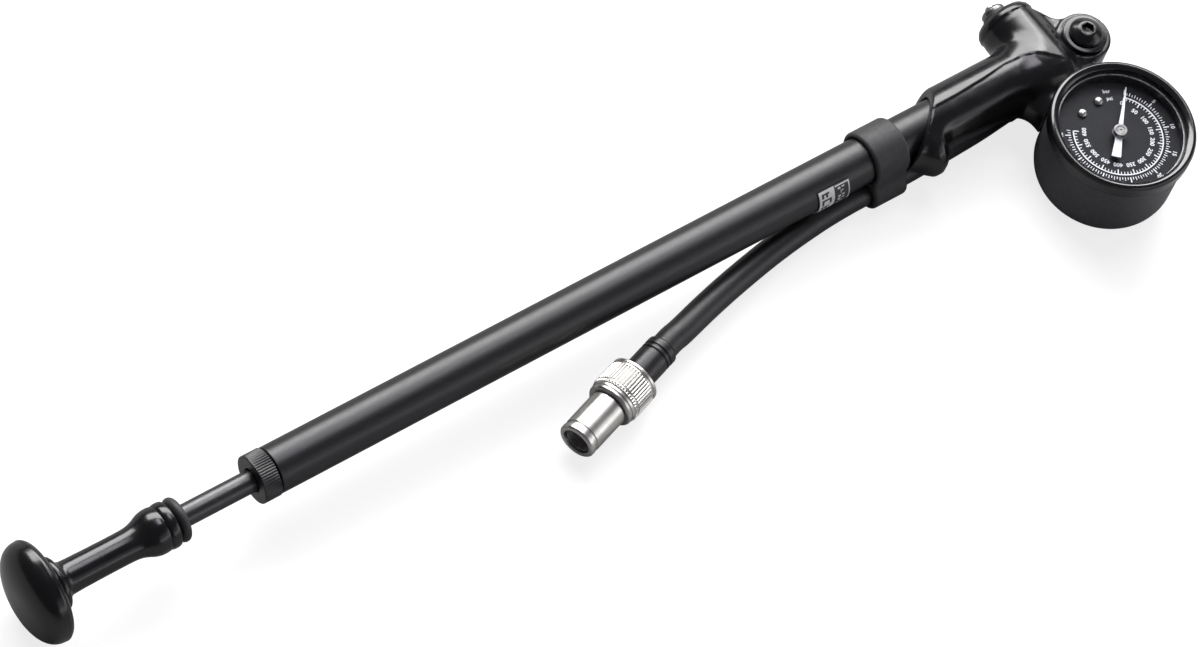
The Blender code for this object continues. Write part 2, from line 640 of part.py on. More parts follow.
def movement(shop):
    """Gauge works: a sector geared to the pointer's pinion, linked to the tip of the bent tube."""
    eye = 0.9
    centre = gauge_point(0, 0)
    pinion = shop.add(
        "pointer_pinion", prism(tooth_ring(PINION_R, 0.3, 12, 0, math.tau), -0.2, 1.9), "brass", centre,
        body="pointer",
    )
    hole = shop.add("pinion_hole", lathe(rod(eye, 6.0), TINY), "brass", gauge_point(0, 0, -2.0))
    boolean(pinion, "DIFFERENCE", hole)

    pivot = sector_pivot()
    towards = SECTOR_SIDE + math.pi
    teeth = tooth_ring(SECTOR_R, 0.3, 20, towards - SECTOR_SWEEP - 0.08, SECTOR_SWEEP + 0.2)
    back = towards + math.pi
    tail = [(TAIL_LENGTH * math.cos(back), TAIL_LENGTH * math.sin(back))]
    shoulder = [(1.7 * math.cos(back + s * 1.1), 1.7 * math.sin(back + s * 1.1)) for s in (-1, 1)]
    tail_end = [
        (tail[0][0] + 0.9 * math.cos(back + a), tail[0][1] + 0.9 * math.sin(back + a))
        for a in spread(-1.3, 1.3, 5)
    ]
    outline = teeth + [shoulder[0]] + tail_end + [shoulder[1]]
    sector = shop.add("sector_gear", prism(outline, 0.2, 1.0), "brass", gauge_point(*pivot), body="sector")
    hole = shop.add("sector_hole", lathe(rod(eye, 6.0), TINY), "brass", gauge_point(*pivot, -2.0))
    boolean(sector, "DIFFERENCE", hole)
    arbor = ((-2.6, 0), (-2.6, 0.6), (5.2, 0.6), (5.2, 0))
    shop.add("sector_arbor", lathe(arbor, TINY), "steel", gauge_point(*pivot), (0, 0, 1), "sector")

    link_start = (pivot[0] + tail[0][0], pivot[1] + tail[0][1])
    length = 9.0
    bar = arc_points((0, 0), 0.75, 90, 270, 6) + arc_points((length, 0), 0.75, -90, 90, 6)
    shop.add("tube_link", prism(bar, 1.3, 1.9), "brass", gauge_point(*link_start), body="link")

    frame = shop.add("movement_frame", box((-6.0, -11.5, -2.3), (6.0, 5.2, -1.5)), "brass", centre)
    shapes = {
        "frame_top": box((-6.0, -11.5, 3.6), (6.0, 5.2, 4.4)),
        "frame_post_left": box((-5.8, 2.8, -2.0), (-3.8, 4.8, 4.0)),
        "frame_post_right": box((3.8, 2.8, -2.0), (5.8, 4.8, 4.0)),
        "frame_foot": box((-3.0, 4.5, -2.3), (3.0, 12.0, -1.5)),
    }
    for name, bm in shapes.items():
        boolean(frame, "UNION", shop.add(name, bm, "brass", centre))
    for name, spot in (("frame_hole", (0, 0)), ("frame_hole_sector", pivot)):
        hole = shop.add(name, lathe(rod(eye, 9.0), TINY), "brass", gauge_point(*spot, -3.5))
        boolean(frame, "DIFFERENCE", hole)


def pressure_tube(shop):
    """The bent flat tube that straightens under pressure, and the stem that feeds it."""
    outline = tube(TUBE_R - 0.6, TUBE_R + 0.6, -4.6, 1.0)
    bm = lathe(outline, ROUND, arc=(math.radians(107), math.radians(300)))
    shop.add("bourdon_tube", bm, "brass", gauge_point(0, 0), (0, 0, 1))
    stem = ((0, 1.0), (0, 4.0), (11.8, 4.0), (11.8, 3.0), (13.0, 3.0), (13.0, 1.0))
    shop.add("gauge_stem", lathe(stem, SMALL), "brass", (CROSS_X, -5.3, 0), (0, -1, 0))


# ---- hose, keeper and chuck ----


def chuck_axis():
    """Unit direction from the hose out of the chuck's mouth."""
    return Vector((-math.cos(CHUCK_ANGLE), -math.sin(CHUCK_ANGLE), 0))


def behind_mouth(distance):
    """The point on the chuck's axis this far behind its mouth."""
    return Vector(CHUCK_MOUTH) - chuck_axis() * distance


def hose_knots():
    start = behind_mouth(FERRULE_END + GAP)
    lead = behind_mouth(FERRULE_END + 4.0)
    end = Vector(HEAD_FERRULE[0])
    along = (Vector(HEAD_FERRULE[1]) - end).normalized()
    return [start, lead, *HOSE_ROUTE, end - along * 0.5]


def hose(shop):
    points = smooth_route(hose_knots(), 2.0 * HOSE_R * 1.6)
    wire(shop, "hose", points, HOSE_R, "rubber", 4)


def hose_keeper(shop):
    """Rubber ring on the barrel whose lower loop holds the hose."""
    ring_r = 8.4
    y, z = KEEPER_LOOP
    distance = math.hypot(y, z)
    heading = math.degrees(math.atan2(z, y))
    lean = math.degrees(math.acos((ring_r - KEEPER_LOOP_R) / distance))
    outline = arc_points((0, 0), ring_r, heading + lean, heading + 360 - lean, 20)
    outline += arc_points((y, z), KEEPER_LOOP_R, heading - lean, heading + lean, 10)
    # the prism's outline is (y, z) and it is stood along X
    bm = prism(outline, 0, KEEPER_END - KEEPER_START)
    upright = Matrix(((0, 0, 1), (1, 0, 0), (0, 1, 0)))
    bmesh.ops.transform(bm, matrix=upright.to_4x4(), verts=bm.verts)
    made = shop.add("hose_keeper", bm, "rubber", (KEEPER_START, 0, 0), body="keeper")
    length = KEEPER_END - KEEPER_START + 4
    barrel_hole = lathe(rod(BARREL_R + GAP, length), ROUND)
    hose_hole = lathe(rod(HOSE_R + GAP, length), SMALL)
    start = KEEPER_START - 2
    holes = (("barrel", barrel_hole, (0, 0)), ("hose", hose_hole, KEEPER_HOSE))
    for thing, bm, spot in holes:
        hole = shop.add(f"keeper_{thing}_hole", bm, "rubber", (start, *spot), ALONG_X)
        boolean(made, "DIFFERENCE", hole)


def chuck(shop):
    """Screws on to a valve; drawn from the mouth backwards."""
    axis = -chuck_axis()
    mouth = CHUCK_MOUTH
    thread_r, nose_r, collar_r = 3.85, 5.6, 7.5
    nose = (
        (0.5, nose_r),
        (1.8, nose_r),
        (2.0, nose_r - 0.2),
        (2.8, nose_r - 0.2),
        (3.0, nose_r),
        (14.5, nose_r),
        (14.5, 5.0),
        (26.4, 5.0),
        (26.4, 2.6),
        (13.2, 2.6),
        (13.2, thread_r),
        (0.5, thread_r),
        (0.0, thread_r + 0.4),
        (0.0, nose_r - 0.4),
    )
    shop.add("chuck_nose", lathe(nose, ROUND), "nickel", mouth, axis, "chuck")
    collar = (
        (14.8, 5.3),
        (14.8, 6.7),
        (15.2, 7.1),
        (17.2, 7.1),
        (17.4, collar_r),
        (25.0, collar_r),
        (25.2, 7.0),
        (25.7, 7.0),
        (25.9, collar_r - 0.1),
        (26.7, collar_r - 0.1),
        (26.7, 5.3),
    )
    bm = lathe(collar, RIBBED, knurled=(4, 5), knurl_depth=0.3)
    shop.add("chuck_collar", bm, "nickel", mouth, axis, "chuck")
    seal = tube(1.7, thread_r - GAP, 9.2, 10.8)
    shop.add("chuck_seal", lathe(seal, SMALL), "rubber", mouth, axis, "chuck")
    pin = ((5.8, 0), (5.8, 0.5), (6.1, 0.8), (11.1, 0.8), (11.1, 0))
    shop.add("valve_depressor", lathe(pin, TINY), "brass", mouth, axis)
    stem = ((11.4, 0), (11.4, thread_r - 0.35), (12.8, thread_r - 0.35), (12.8, 2.3))
    stem += ((27.0, 2.3), (27.0, 2.0), (36.8, 2.0), (36.8, 0))
    shop.add("chuck_stem", lathe(stem, SMALL), "brass", mouth, axis)
    ferrule = [(FERRULE_START, 2.5), (FERRULE_START, 4.3), (FERRULE_START + 0.4, 4.6)]
    for groove in (5.5, 8.5):
        at = FERRULE_START + groove
        ferrule += [(at - 0.3, 4.7), (at, 4.35), (at + 0.5, 4.35), (at + 0.8, 4.7)]
    ferrule += [(FERRULE_END - 0.5, 4.7), (FERRULE_END, 4.3), (FERRULE_END, 2.5)]
    shop.add("hose_ferrule_chuck", lathe(ferrule, ROUND), "anodised_black", mouth, axis)


def main():
    clear_scene()
    shop = Shop(empty("pump", PUMP_ORIGIN), make_materials())
    link_at = gauge_point(*(value * (1 + TAIL_LENGTH / GEAR_SPACING) for value in sector_pivot()))
    shop.body("plunger", (0, 0, 0))
    shop.body("handle", (0, 0, 0))
    shop.body("check_valve", (SOCKET_END, 0, 0))
    shop.body("bleed_button", (CROSS_X, CROSS_FAR_Y, 0))
    shop.body("pointer", gauge_point(0, 0))
    shop.body("sector", gauge_point(*sector_pivot()))
    shop.body("link", link_at)
    shop.body("keeper", (KEEPER_START, 0, 0))
    shop.body("chuck", CHUCK_MOUTH)
    for build in (
        barrel, barrel_label, end_cap, piston_rod, piston, handle, knob, handle_bumper, head,
        head_seal, check_valve, bleed_valve, swivel, swivel_fitting, gauge_case, bezel, dial,
        pointer, movement, pressure_tube, hose, hose_keeper, chuck,
    ):
        build(shop)


main()
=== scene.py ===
import math

import bmesh
import bpy
import numpy as np
from mathutils import Matrix, Vector

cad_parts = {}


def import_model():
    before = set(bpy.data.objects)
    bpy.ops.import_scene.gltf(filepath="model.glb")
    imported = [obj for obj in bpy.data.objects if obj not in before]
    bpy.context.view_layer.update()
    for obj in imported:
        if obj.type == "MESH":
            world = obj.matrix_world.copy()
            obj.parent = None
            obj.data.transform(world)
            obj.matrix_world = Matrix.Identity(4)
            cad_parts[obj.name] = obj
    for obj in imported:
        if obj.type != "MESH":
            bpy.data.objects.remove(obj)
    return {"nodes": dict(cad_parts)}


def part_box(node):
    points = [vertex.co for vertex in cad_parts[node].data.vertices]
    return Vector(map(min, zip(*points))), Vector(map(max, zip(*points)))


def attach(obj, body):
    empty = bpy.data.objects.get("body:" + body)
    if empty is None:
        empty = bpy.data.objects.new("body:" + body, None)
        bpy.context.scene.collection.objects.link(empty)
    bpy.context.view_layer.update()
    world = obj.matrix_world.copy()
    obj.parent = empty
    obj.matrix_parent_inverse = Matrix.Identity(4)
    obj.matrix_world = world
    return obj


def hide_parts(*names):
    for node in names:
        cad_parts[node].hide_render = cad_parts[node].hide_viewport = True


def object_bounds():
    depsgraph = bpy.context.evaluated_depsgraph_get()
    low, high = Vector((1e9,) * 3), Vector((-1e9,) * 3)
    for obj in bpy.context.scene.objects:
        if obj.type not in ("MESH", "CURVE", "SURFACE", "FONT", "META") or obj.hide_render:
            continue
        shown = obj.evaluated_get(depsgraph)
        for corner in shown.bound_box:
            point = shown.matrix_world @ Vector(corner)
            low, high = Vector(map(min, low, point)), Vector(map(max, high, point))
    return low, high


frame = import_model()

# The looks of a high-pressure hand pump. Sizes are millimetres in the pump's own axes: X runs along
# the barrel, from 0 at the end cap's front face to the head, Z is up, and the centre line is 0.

CAD_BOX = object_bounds()
MM = 0.001

BARREL_LOW, BARREL_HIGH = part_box("barrel")
BARREL_MIDDLE = (BARREL_LOW + BARREL_HIGH) / 2
ORIGIN = Vector((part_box("end_cap")[0].x, BARREL_MIDDLE.y, BARREL_MIDDLE.z))


def local(point):
    """A world point in the pump's axes, in millimetres."""
    return (Vector(point) - ORIGIN) / MM


def world(point):
    """A point of the pump's axes in the world, in metres."""
    return ORIGIN + Vector(point) * MM


def middle(node):
    """The middle of a CAD node's box, in the pump's axes."""
    low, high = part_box(node)
    return local((low + high) / 2)


BARREL_R = (BARREL_HIGH.y - BARREL_LOW.y) / 2 / MM
GAUGE = middle("gauge_bezel").xy
CASE_AT = GAUGE + Vector((0.35, 0.15))
BOSS = middle("swivel_bolt").xy
CROSS_X = middle("bleed_valve_body").x
ALONG_X, ALONG_Y, ALONG_Z = Vector((1, 0, 0)), Vector((0, 1, 0)), Vector((0, 0, 1))

# ---- camera, floor and light, in metres ----

LENS, SENSOR = 132.034, 36.0
CAMERA_AT = (-0.480105, -0.381187, 1.040356)
CAMERA_RIGHT = Vector((0.81045, -0.56208, 0.16506))
CAMERA_UP = Vector((0.42809, 0.76059, 0.48810))
WHITE, COOL = (1.0, 1.0, 1.0), (0.94, 0.91, 1.0)
SKY_STRENGTH = 0.13
# each one's name, the side it is on, the point it faces, its distance, size, watts and colour
SOFTBOXES = (
    ("key", (0.36, 0.68, 0.62), (0, 0, 0), 2.0, (2.2, 1.15), 80.0, WHITE),
    ("over", (0, 0, 1), (0.60, 0.42, 0), 1.85, (0.5, 0.95), 11.0, COOL),
    ("front", (0.35, -0.88, 0.26), (0, 0, 0), 1.8, (2.2, 0.30), 3.0, WHITE),
    ("fill", (0.40, -0.85, 0.33), (0, 0, 0), 2.1, (2.4, 1.5), 6.0, COOL),
    ("right", (0.80, 0.32, 0.50), (0.16, 0, 0), 1.8, (0.8, 0.7), 8.0, WHITE),
    ("side", (0.72, -0.55, 0.26), (0, 0, 0), 1.8, (0.9, 1.1), 3.6, WHITE),
)
FLOOR_REACH, FLOOR_GAP, FLOOR_GLOW = 4.0, 0.0002, 0.78


def added(name, data):
    """A new object in the scene."""
    made = bpy.data.objects.new(name, data)
    bpy.context.scene.collection.objects.link(made)
    return made


def make_camera():
    camera = bpy.data.cameras.new("camera")
    camera.lens = LENS
    camera.sensor_width = SENSOR
    camera.sensor_fit = "HORIZONTAL"
    camera.clip_start, camera.clip_end = 0.05, 20.0
    holder = added("camera", camera)
    back = CAMERA_RIGHT.cross(CAMERA_UP)
    turn = Matrix((CAMERA_RIGHT, CAMERA_UP, back)).transposed().to_4x4()
    holder.matrix_world = Matrix.Translation(CAMERA_AT) @ turn
    bpy.context.scene.camera = holder


def softbox(name, towards, centre, distance, size, power, colour):
    """A rectangular light, seen from the centre in the direction towards, facing it."""
    light = bpy.data.lights.new(name, "AREA")
    light.shape = "RECTANGLE"
    light.size, light.size_y = size
    light.energy = power
    light.color = colour
    holder = added(name, light)
    way = Vector(towards).normalized()
    holder.location = Vector(centre) + way * distance
    holder.rotation_mode = "QUATERNION"
    holder.rotation_quaternion = way.to_track_quat("Z", "Y")


def make_studio():
    sky = bpy.data.worlds.new("studio")
    sky.use_nodes = True
    backdrop = sky.node_tree.nodes["Background"]
    backdrop.inputs["Color"].default_value = (*COOL, 1.0)
    backdrop.inputs["Strength"].default_value = SKY_STRENGTH
    bpy.context.scene.world = sky
    for box in SOFTBOXES:
        softbox(*box)
    bpy.context.scene.view_settings.view_transform = "Standard"


def make_floor():
    """A pale sheet that glows a little for the camera alone, and stays dim in reflections."""
    bm = bmesh.new()
    bmesh.ops.create_grid(bm, x_segments=2, y_segments=2, size=FLOOR_REACH)
    mesh = bpy.data.meshes.new("floor")
    bm.to_mesh(mesh)
    bm.free()
    floor = added("floor", mesh)
    floor.location.z = min(CAD_BOX[0].z, 0.0) - FLOOR_GAP
    s = Surface("floor")
    seen = s.nodes.new("ShaderNodeLightPath").outputs["Is Camera Ray"]
    s.links.new(s.ramp(seen, 0.0, FLOOR_GLOW, 0.0, 1.0), s.shader.inputs["Emission Strength"])
    mesh.materials.append(s.material)


# ---- materials ----

# Most materials have mottled colour, uneven roughness and fine relief, all from noise. A noise is
# (scale, detail), and where it is drawn out, also the stretch of its coordinates and their turn
# about Z in degrees. Each row: the colour's noise, its darkest and lightest colour, the roughness's
# noise and its range, and then the reliefs, each with its noise, strength and depth in metres.
SKINS = {
    # polished black on cast and turned metal, with faint ripple and haze
    "gloss_black": (
        (140, 3), (0.0030, 0.0030, 0.0034), (0.0052, 0.0052, 0.0058), (220, 4), (0.18, 0.25),
        ((420, 2), 0.25, 3e-5), ((5200, 2), 0.12, 8e-6),
    ),
    # blasted and anodised tube: even grain with faint lines drawn along it
    "anodised_black": (
        (1800, 4, (0.12, 1, 1)), (0.0045, 0.0045, 0.0052), (0.0085, 0.0085, 0.0095),
        (900, 4), (0.33, 0.42), ((7500, 2), 0.35, 1e-5), ((2600, 3, (0.02, 1, 1)), 0.18, 8e-6),
    ),
    # blackened rod steel with lines drawn along it and a little oil
    "black_steel": (
        (900, 3, (0.05, 1, 1)), (0.006, 0.006, 0.0066), (0.014, 0.014, 0.0152),
        (400, 3), (0.27, 0.38), ((3800, 2, (0.02, 1, 1)), 0.15, 6e-6),
    ),
    # fine textured paint on the gauge's case
    "case_black": (
        (600, 4), (0.046, 0.045, 0.051), (0.060, 0.059, 0.066), (1500, 3), (0.38, 0.5),
        ((4200, 3), 0.35, 2e-5), ((160, 2), 0.15, 3e-5),
    ),
    # smooth enamel on pressed steel
    "bezel_black": (
        (300, 3), (0.0035, 0.0035, 0.0042), (0.006, 0.006, 0.0068), (500, 3), (0.14, 0.22),
        ((900, 2), 0.15, 2e-5),
    ),
    # moulded matt rubber with a fine pitted skin
    "rubber": (
        (500, 5), (0.010, 0.010, 0.011), (0.018, 0.018, 0.0195), (1400, 3), (0.52, 0.66),
        ((3300, 3), 0.4, 3e-5), ((240, 2), 0.2, 6e-5),
    ),
    # extruded hose rubber: smoother than the moulded kind, with long faint drawing lines
    "hose_rubber": (
        (700, 4), (0.0075, 0.0075, 0.0085), (0.0135, 0.0135, 0.015), (1200, 3), (0.4, 0.5),
        ((3600, 3), 0.3, 2e-5), ((300, 3, (0.15, 1, 1), 14), 0.2, 5e-5),
    ),
    "steel": (
        (800, 4), (0.15, 0.145, 0.14), (0.24, 0.235, 0.225), (2500, 3), (0.25, 0.4),
        ((5000, 2), 0.2, 1e-5),
    ),
    "brass": (
        (500, 4), (0.50, 0.35, 0.13), (0.72, 0.53, 0.23), (1800, 3), (0.25, 0.42),
        ((4000, 2), 0.2, 1e-5),
    ),
    # matt printed metal
    "dial_black": (
        (1500, 4), (0.0045, 0.0045, 0.006), (0.008, 0.008, 0.0095), (2200, 3), (0.42, 0.55),
        ((6000, 2), 0.25, 1e-5),
    ),
    # screen-printed ink
    "white_print": (
        (3500, 4), (0.80, 0.81, 0.82), (0.92, 0.93, 0.94), (2800, 3), (0.42, 0.6),
        ((5200, 2), 0.2, 1e-5),
    ),
    "label_white": (
        (900, 4), (0.60, 0.60, 0.60), (0.74, 0.74, 0.735), (1500, 3), (0.35, 0.5),
        ((2400, 2), 0.15, 1e-5),
    ),
    "label_black": (
        (900, 4), (0.009, 0.009, 0.010), (0.016, 0.016, 0.017), (1500, 3), (0.3, 0.42),
        ((2400, 2), 0.15, 1e-5),
    ),
}
SHADER_INPUTS = {
    "floor": {
        "Base Color": (0.32, 0.32, 0.32, 1), "Emission Color": (1, 1, 1, 1), "Roughness": 0.9,
        "Specular IOR Level": 0.0,
    },
    "black_steel": {"Specular IOR Level": 0.75},
    "bezel_black": {"Coat Weight": 0.4, "Coat Roughness": 0.05},
    "rubber": {"Sheen Weight": 0.08, "Sheen Roughness": 0.5},
    "hose_rubber": {"Sheen Weight": 0.05, "Sheen Roughness": 0.4},
    "dial_black": {"Specular IOR Level": 0.2},
    "label_white": {"Coat Weight": 0.2, "Coat Roughness": 0.2},
    "label_black": {"Coat Weight": 0.2, "Coat Roughness": 0.2},
    "nickel": {"Metallic": 1.0},
    "plated": {"Metallic": 1.0},
    "steel": {"Metallic": 1.0},
    "brass": {"Metallic": 1.0},
}


class Surface:
    """A procedural material: a shader fed by noise in the object's own metres."""

    def __init__(self, name):
        self.material = bpy.data.materials.new(name)
        self.material.use_nodes = True
        self.nodes = self.material.node_tree.nodes
        self.links = self.material.node_tree.links
        self.shader = self.nodes["Principled BSDF"]
        for key, value in SHADER_INPUTS.get(name, {}).items():
            self.shader.inputs[key].default_value = value
        self.place = self.nodes.new("ShaderNodeTexCoord").outputs["Object"]
        self.last_bump = None

    def stretched(self, scale, angle=0.0):
        """Coordinates stretched along X, Y and Z, after a turn about Z by the angle in degrees."""
        turned = self.nodes.new("ShaderNodeMapping")
        turned.vector_type = "POINT"
        turned.inputs["Rotation"].default_value = (0.0, 0.0, math.radians(-angle))
        self.links.new(self.place, turned.inputs["Vector"])
        grown = self.nodes.new("ShaderNodeMapping")
        grown.vector_type = "POINT"
        grown.inputs["Scale"].default_value = scale
        self.links.new(turned.outputs["Vector"], grown.inputs["Vector"])
        return grown.outputs["Vector"]

    def noise(self, scale, detail, *stretch):
        node = self.nodes.new("ShaderNodeTexNoise")
        node.inputs["Scale"].default_value = scale
        node.inputs["Detail"].default_value = detail
        self.links.new(self.stretched(*stretch) if stretch else self.place, node.inputs["Vector"])
        return node.outputs["Fac"]

    def ramp(self, source, low, high, start=0.3, end=0.7):
        """Maps the source from start..end to low..high."""
        node = self.nodes.new("ShaderNodeMapRange")
        node.inputs["From Min"].default_value = start
        node.inputs["From Max"].default_value = end
        node.inputs["To Min"].default_value = low
        node.inputs["To Max"].default_value = high
        self.links.new(source, node.inputs["Value"])
        return node.outputs["Result"]

    def colours(self, source, low, high):
        """Mixes the base colour from low to high over the middle of the source's range."""
        node = self.nodes.new("ShaderNodeValToRGB")
        for end, position, colour in zip(node.color_ramp.elements, (0.3, 0.7), (low, high)):
            end.position = position
            end.color = (*colour, 1.0)
        self.links.new(source, node.inputs["Fac"])
        self.links.new(node.outputs["Color"], self.shader.inputs["Base Color"])

    def combined(self, first, second, operation):
        node = self.nodes.new("ShaderNodeMath")
        node.operation = operation
        self.links.new(first, node.inputs[0])
        self.links.new(second, node.inputs[1])
        return node.outputs["Value"]

    def roughness(self, source):
        self.links.new(source, self.shader.inputs["Roughness"])

    def bump(self, source, strength, depth):
        """Adds relief of this depth in metres to what is there already."""
        node = self.nodes.new("ShaderNodeBump")
        node.inputs["Strength"].default_value = strength
        node.inputs["Distance"].default_value = depth
        self.links.new(source, node.inputs["Height"])
        if self.last_bump is not None:
            self.links.new(self.last_bump, node.inputs["Normal"])
        self.last_bump = node.outputs["Normal"]
        self.links.new(self.last_bump, self.shader.inputs["Normal"])


def make_skin(name, mottle, dark, light, haze, roughness, *reliefs):
    """The material of one row of the table."""
    s = Surface(name)
    s.colours(s.noise(*mottle), dark, light)
    s.roughness(s.ramp(s.noise(*haze), *roughness))
    for grain, strength, depth in reliefs:
        s.bump(s.noise(*grain), strength, depth)
    return s.material


def make_nickel(name, along, angle=0.0):
    """Bright plating over turned metal: fine rings round the part's axis, and soft stains."""
    s = Surface(name)
    s.colours(s.noise(260, 4), (0.50, 0.492, 0.465), (0.60, 0.592, 0.56))
    rings = s.noise(9000, 1, along, angle)
    s.roughness(s.ramp(s.combined(rings, s.noise(350, 2), "ADD"), 0.29, 0.35, 0.7, 1.3))
    s.bump(s.noise(250, 2), 0.03, 1e-5)
    return s.material


def make_clear_lens():
    """A thin clear window: see-through head-on, and a mirror at a slant, with faint smears."""
    s = Surface("clear_lens")
    nodes, links = s.nodes, s.links
    clear = nodes.new("ShaderNodeBsdfTransparent")
    clear.inputs["Color"].default_value = (0.96, 0.965, 0.975, 1.0)
    shine = nodes.new("ShaderNodeBsdfGlossy")
    shine.inputs["Color"].default_value = (0.38, 0.38, 0.40, 1.0)
    links.new(s.ramp(s.noise(90, 4), 0.015, 0.07), shine.inputs["Roughness"])
    fresnel = nodes.new("ShaderNodeFresnel")
    fresnel.inputs["IOR"].default_value = 1.49
    # only the face that light comes in by mirrors it: the sheet is too thin to trap light inside
    inside = nodes.new("ShaderNodeNewGeometry").outputs["Backfacing"]
    front = s.ramp(inside, 1.0, 0.0, 0.0, 1.0)
    mix = nodes.new("ShaderNodeMixShader")
    links.new(s.combined(fresnel.outputs["Fac"], front, "MULTIPLY"), mix.inputs["Fac"])
    links.new(clear.outputs["BSDF"], mix.inputs[1])
    links.new(shine.outputs["BSDF"], mix.inputs[2])
    links.new(mix.outputs["Shader"], nodes["Material Output"].inputs["Surface"])
    nodes.remove(s.shader)
    return s.material


skins = {}  # the materials by name, once they are made


def make_skins():
    for name, row in SKINS.items():
        skins[name] = make_skin(name, *row)
    skins["nickel"] = make_nickel("nickel", (1, 0.02, 0.02), CHUCK_ANGLE)
    skins["plated"] = make_nickel("plated", (0.02, 1, 0.02))
    skins["clear_lens"] = make_clear_lens()


# ---- mesh helpers ----


def piece(name, points, faces, skin, node=None, body="pump_body", slot=None, sharp=40.0):
    """Makes one piece from points in the pump's axes, which rides on its body.

    It takes the place of the CAD node, if one is given. The slot argument is not used.
    """
    mesh = bpy.data.meshes.new(name)
    points = np.asarray(points, float) * MM + np.array(ORIGIN)
    mesh.from_pydata([tuple(p) for p in points], [], [tuple(int(i) for i in f) for f in faces])
    bm = bmesh.new()
    bm.from_mesh(mesh)
    bmesh.ops.recalc_face_normals(bm, faces=bm.faces)
    bm.to_mesh(mesh)
    bm.free()
    mesh.shade_smooth()
    if sharp:
        mesh.set_sharp_from_angle(angle=math.radians(sharp))
    mesh.materials.append(skins[skin])
    made = added(name, mesh)
    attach(made, body)
    if node:
        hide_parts(node)
    return made


def placed(points, at, direction):
    """Points of a shape drawn along Z, turned so that Z goes to the direction, and moved to at."""
    turn = np.array(ALONG_Z.rotation_difference(Vector(direction)).to_matrix())
    return points @ turn.T + np.array(at, float)


def rounded(outline, radius=0.25, steps=3, closed=True):
    """Rounds an outline's corners, with a point close on each side so that flats stay flat.

    An entry may carry a radius of its own: (along, out, radius).
    """
    corners = [Vector(c[:2]) for c in outline]
    radii = [c[2] if len(c) > 2 else radius for c in outline]
    made = []
    count = len(corners)
    for i, corner in enumerate(corners):
        if not closed and i in (0, count - 1):
            made.append(tuple(corner))
            continue
        before, after = corners[i - 1] - corner, corners[(i + 1) % count] - corner
        if min(before.length, after.length) < 1e-6:
            continue
        turn = math.pi - before.angle(after)
        if turn < math.radians(22) or corner.y <= 1e-6 or radii[i] <= 0:
            made.append(tuple(corner))
            continue
        reach = min(radii[i] * math.tan(turn / 2), 0.42 * before.length, 0.42 * after.length)
        start, end = corner + before.normalized() * reach, corner + after.normalized() * reach
        support = min(0.35 * reach + 0.02, 0.07 * before.length)
        made.append(tuple(start + before.normalized() * support))
        for step in range(steps + 1):
            t = step / steps
            made.append(tuple(start.lerp(corner, t).lerp(corner.lerp(end, t), t)))
        support = min(0.35 * reach + 0.02, 0.07 * after.length)
        made.append(tuple(end + after.normalized() * support))
    return made


def curved(points, per=6):
    """More points on a smooth curve through an outline's points."""
    spots = [Vector(p) for p in points]
    ends = [2 * spots[0] - spots[1], *spots, 2 * spots[-1] - spots[-2]]
    made = []
    for a, b, c, d in zip(ends, ends[1:], ends[2:], ends[3:]):
        for step in range(per):
            t = step / per
            blend = 2 * b + (c - a) * t + (2 * a - 5 * b + 4 * c - d) * t**2
            made.append(tuple(0.5 * (blend + (3 * b - 3 * c + d - a) * t**3)))
    made.append(tuple(spots[-1]))
    return made


def turned(outline, segments=96, at=(0, 0, 0), direction=ALONG_Z, ripple=None):
    """A solid of revolution from an outline of (along, radius).

    Ripple, if given, takes a ring's number and its angles, and gives what its radius grows by.
    """
    angles = np.arange(segments) * math.tau / segments
    points, faces, rings = [], [], []
    for index, (along, radius) in enumerate(outline):
        if radius <= 1e-6:
            rings.append([len(points)] * segments)
            points.append((0.0, 0.0, along))
            continue
        size = radius + (ripple(index, angles) if ripple else 0.0)
        rings.append(list(range(len(points), len(points) + segments)))
        points += list(zip(size * np.cos(angles), size * np.sin(angles), [along] * segments))
    for first, second in zip(rings, rings[1:] + rings[:1]):
        for step in range(segments):
            ahead = (step + 1) % segments
            face = list(dict.fromkeys((first[step], first[ahead], second[ahead], second[step])))
            if len(face) > 2:
                faces.append(face)
    return placed(np.array(points), at, direction), faces


def knurled(outline, rings, wave, teeth, at=(0, 0, 0), direction=ALONG_X):
    """A turned solid with one tooth's wave repeated all the way round on these rings."""

    def ripple(ring, angles):
        return np.tile(wave, teeth) if ring in rings else 0.0

    return turned(outline, teeth * len(wave), at, direction, ripple)


def tube(inner, outer, start, end, radius):
    """The outline of a tube with rounded edges."""
    return rounded(((start, inner), (start, outer), (end, outer), (end, inner)), radius)


def join(parts):
    """One mesh from several."""
    points, faces = [], []
    for more_points, more_faces in parts:
        base = len(points)
        points += [tuple(p) for p in more_points]
        faces += [tuple(i + base for i in face) for face in more_faces]
    return points, faces


# ---- smooth solids from distance functions ----


def smooth_min(a, b, k):
    """The union of two distances, with a fillet of about this width."""
    h = np.maximum(k - np.abs(a - b), 0.0) / k
    return np.minimum(a, b) - h * h * k / 4


def smooth_max(a, b, k):
    """Their intersection, with the edge rounded over about this width."""
    return -smooth_min(-a, -b, k)


def edged(x, y, edge):
    """The overlap of two distances at right angles, with its edge rounded to this radius."""
    x, y = x + edge, y + edge
    return np.minimum(np.maximum(x, y), 0) + np.hypot(np.maximum(x, 0), np.maximum(y, 0)) - edge


def cylinder(p, start, end, radius, edge):
    """Distance to a cylinder with rounded edges."""
    start, end = np.array(start, float), np.array(end, float)
    length = np.linalg.norm(end - start)
    unit = (end - start) / length
    away = p - start
    along = away @ unit
    out = np.linalg.norm(away - along[:, None] * unit, axis=1)
    return edged(np.abs(along - length / 2) - length / 2, out - radius, edge)


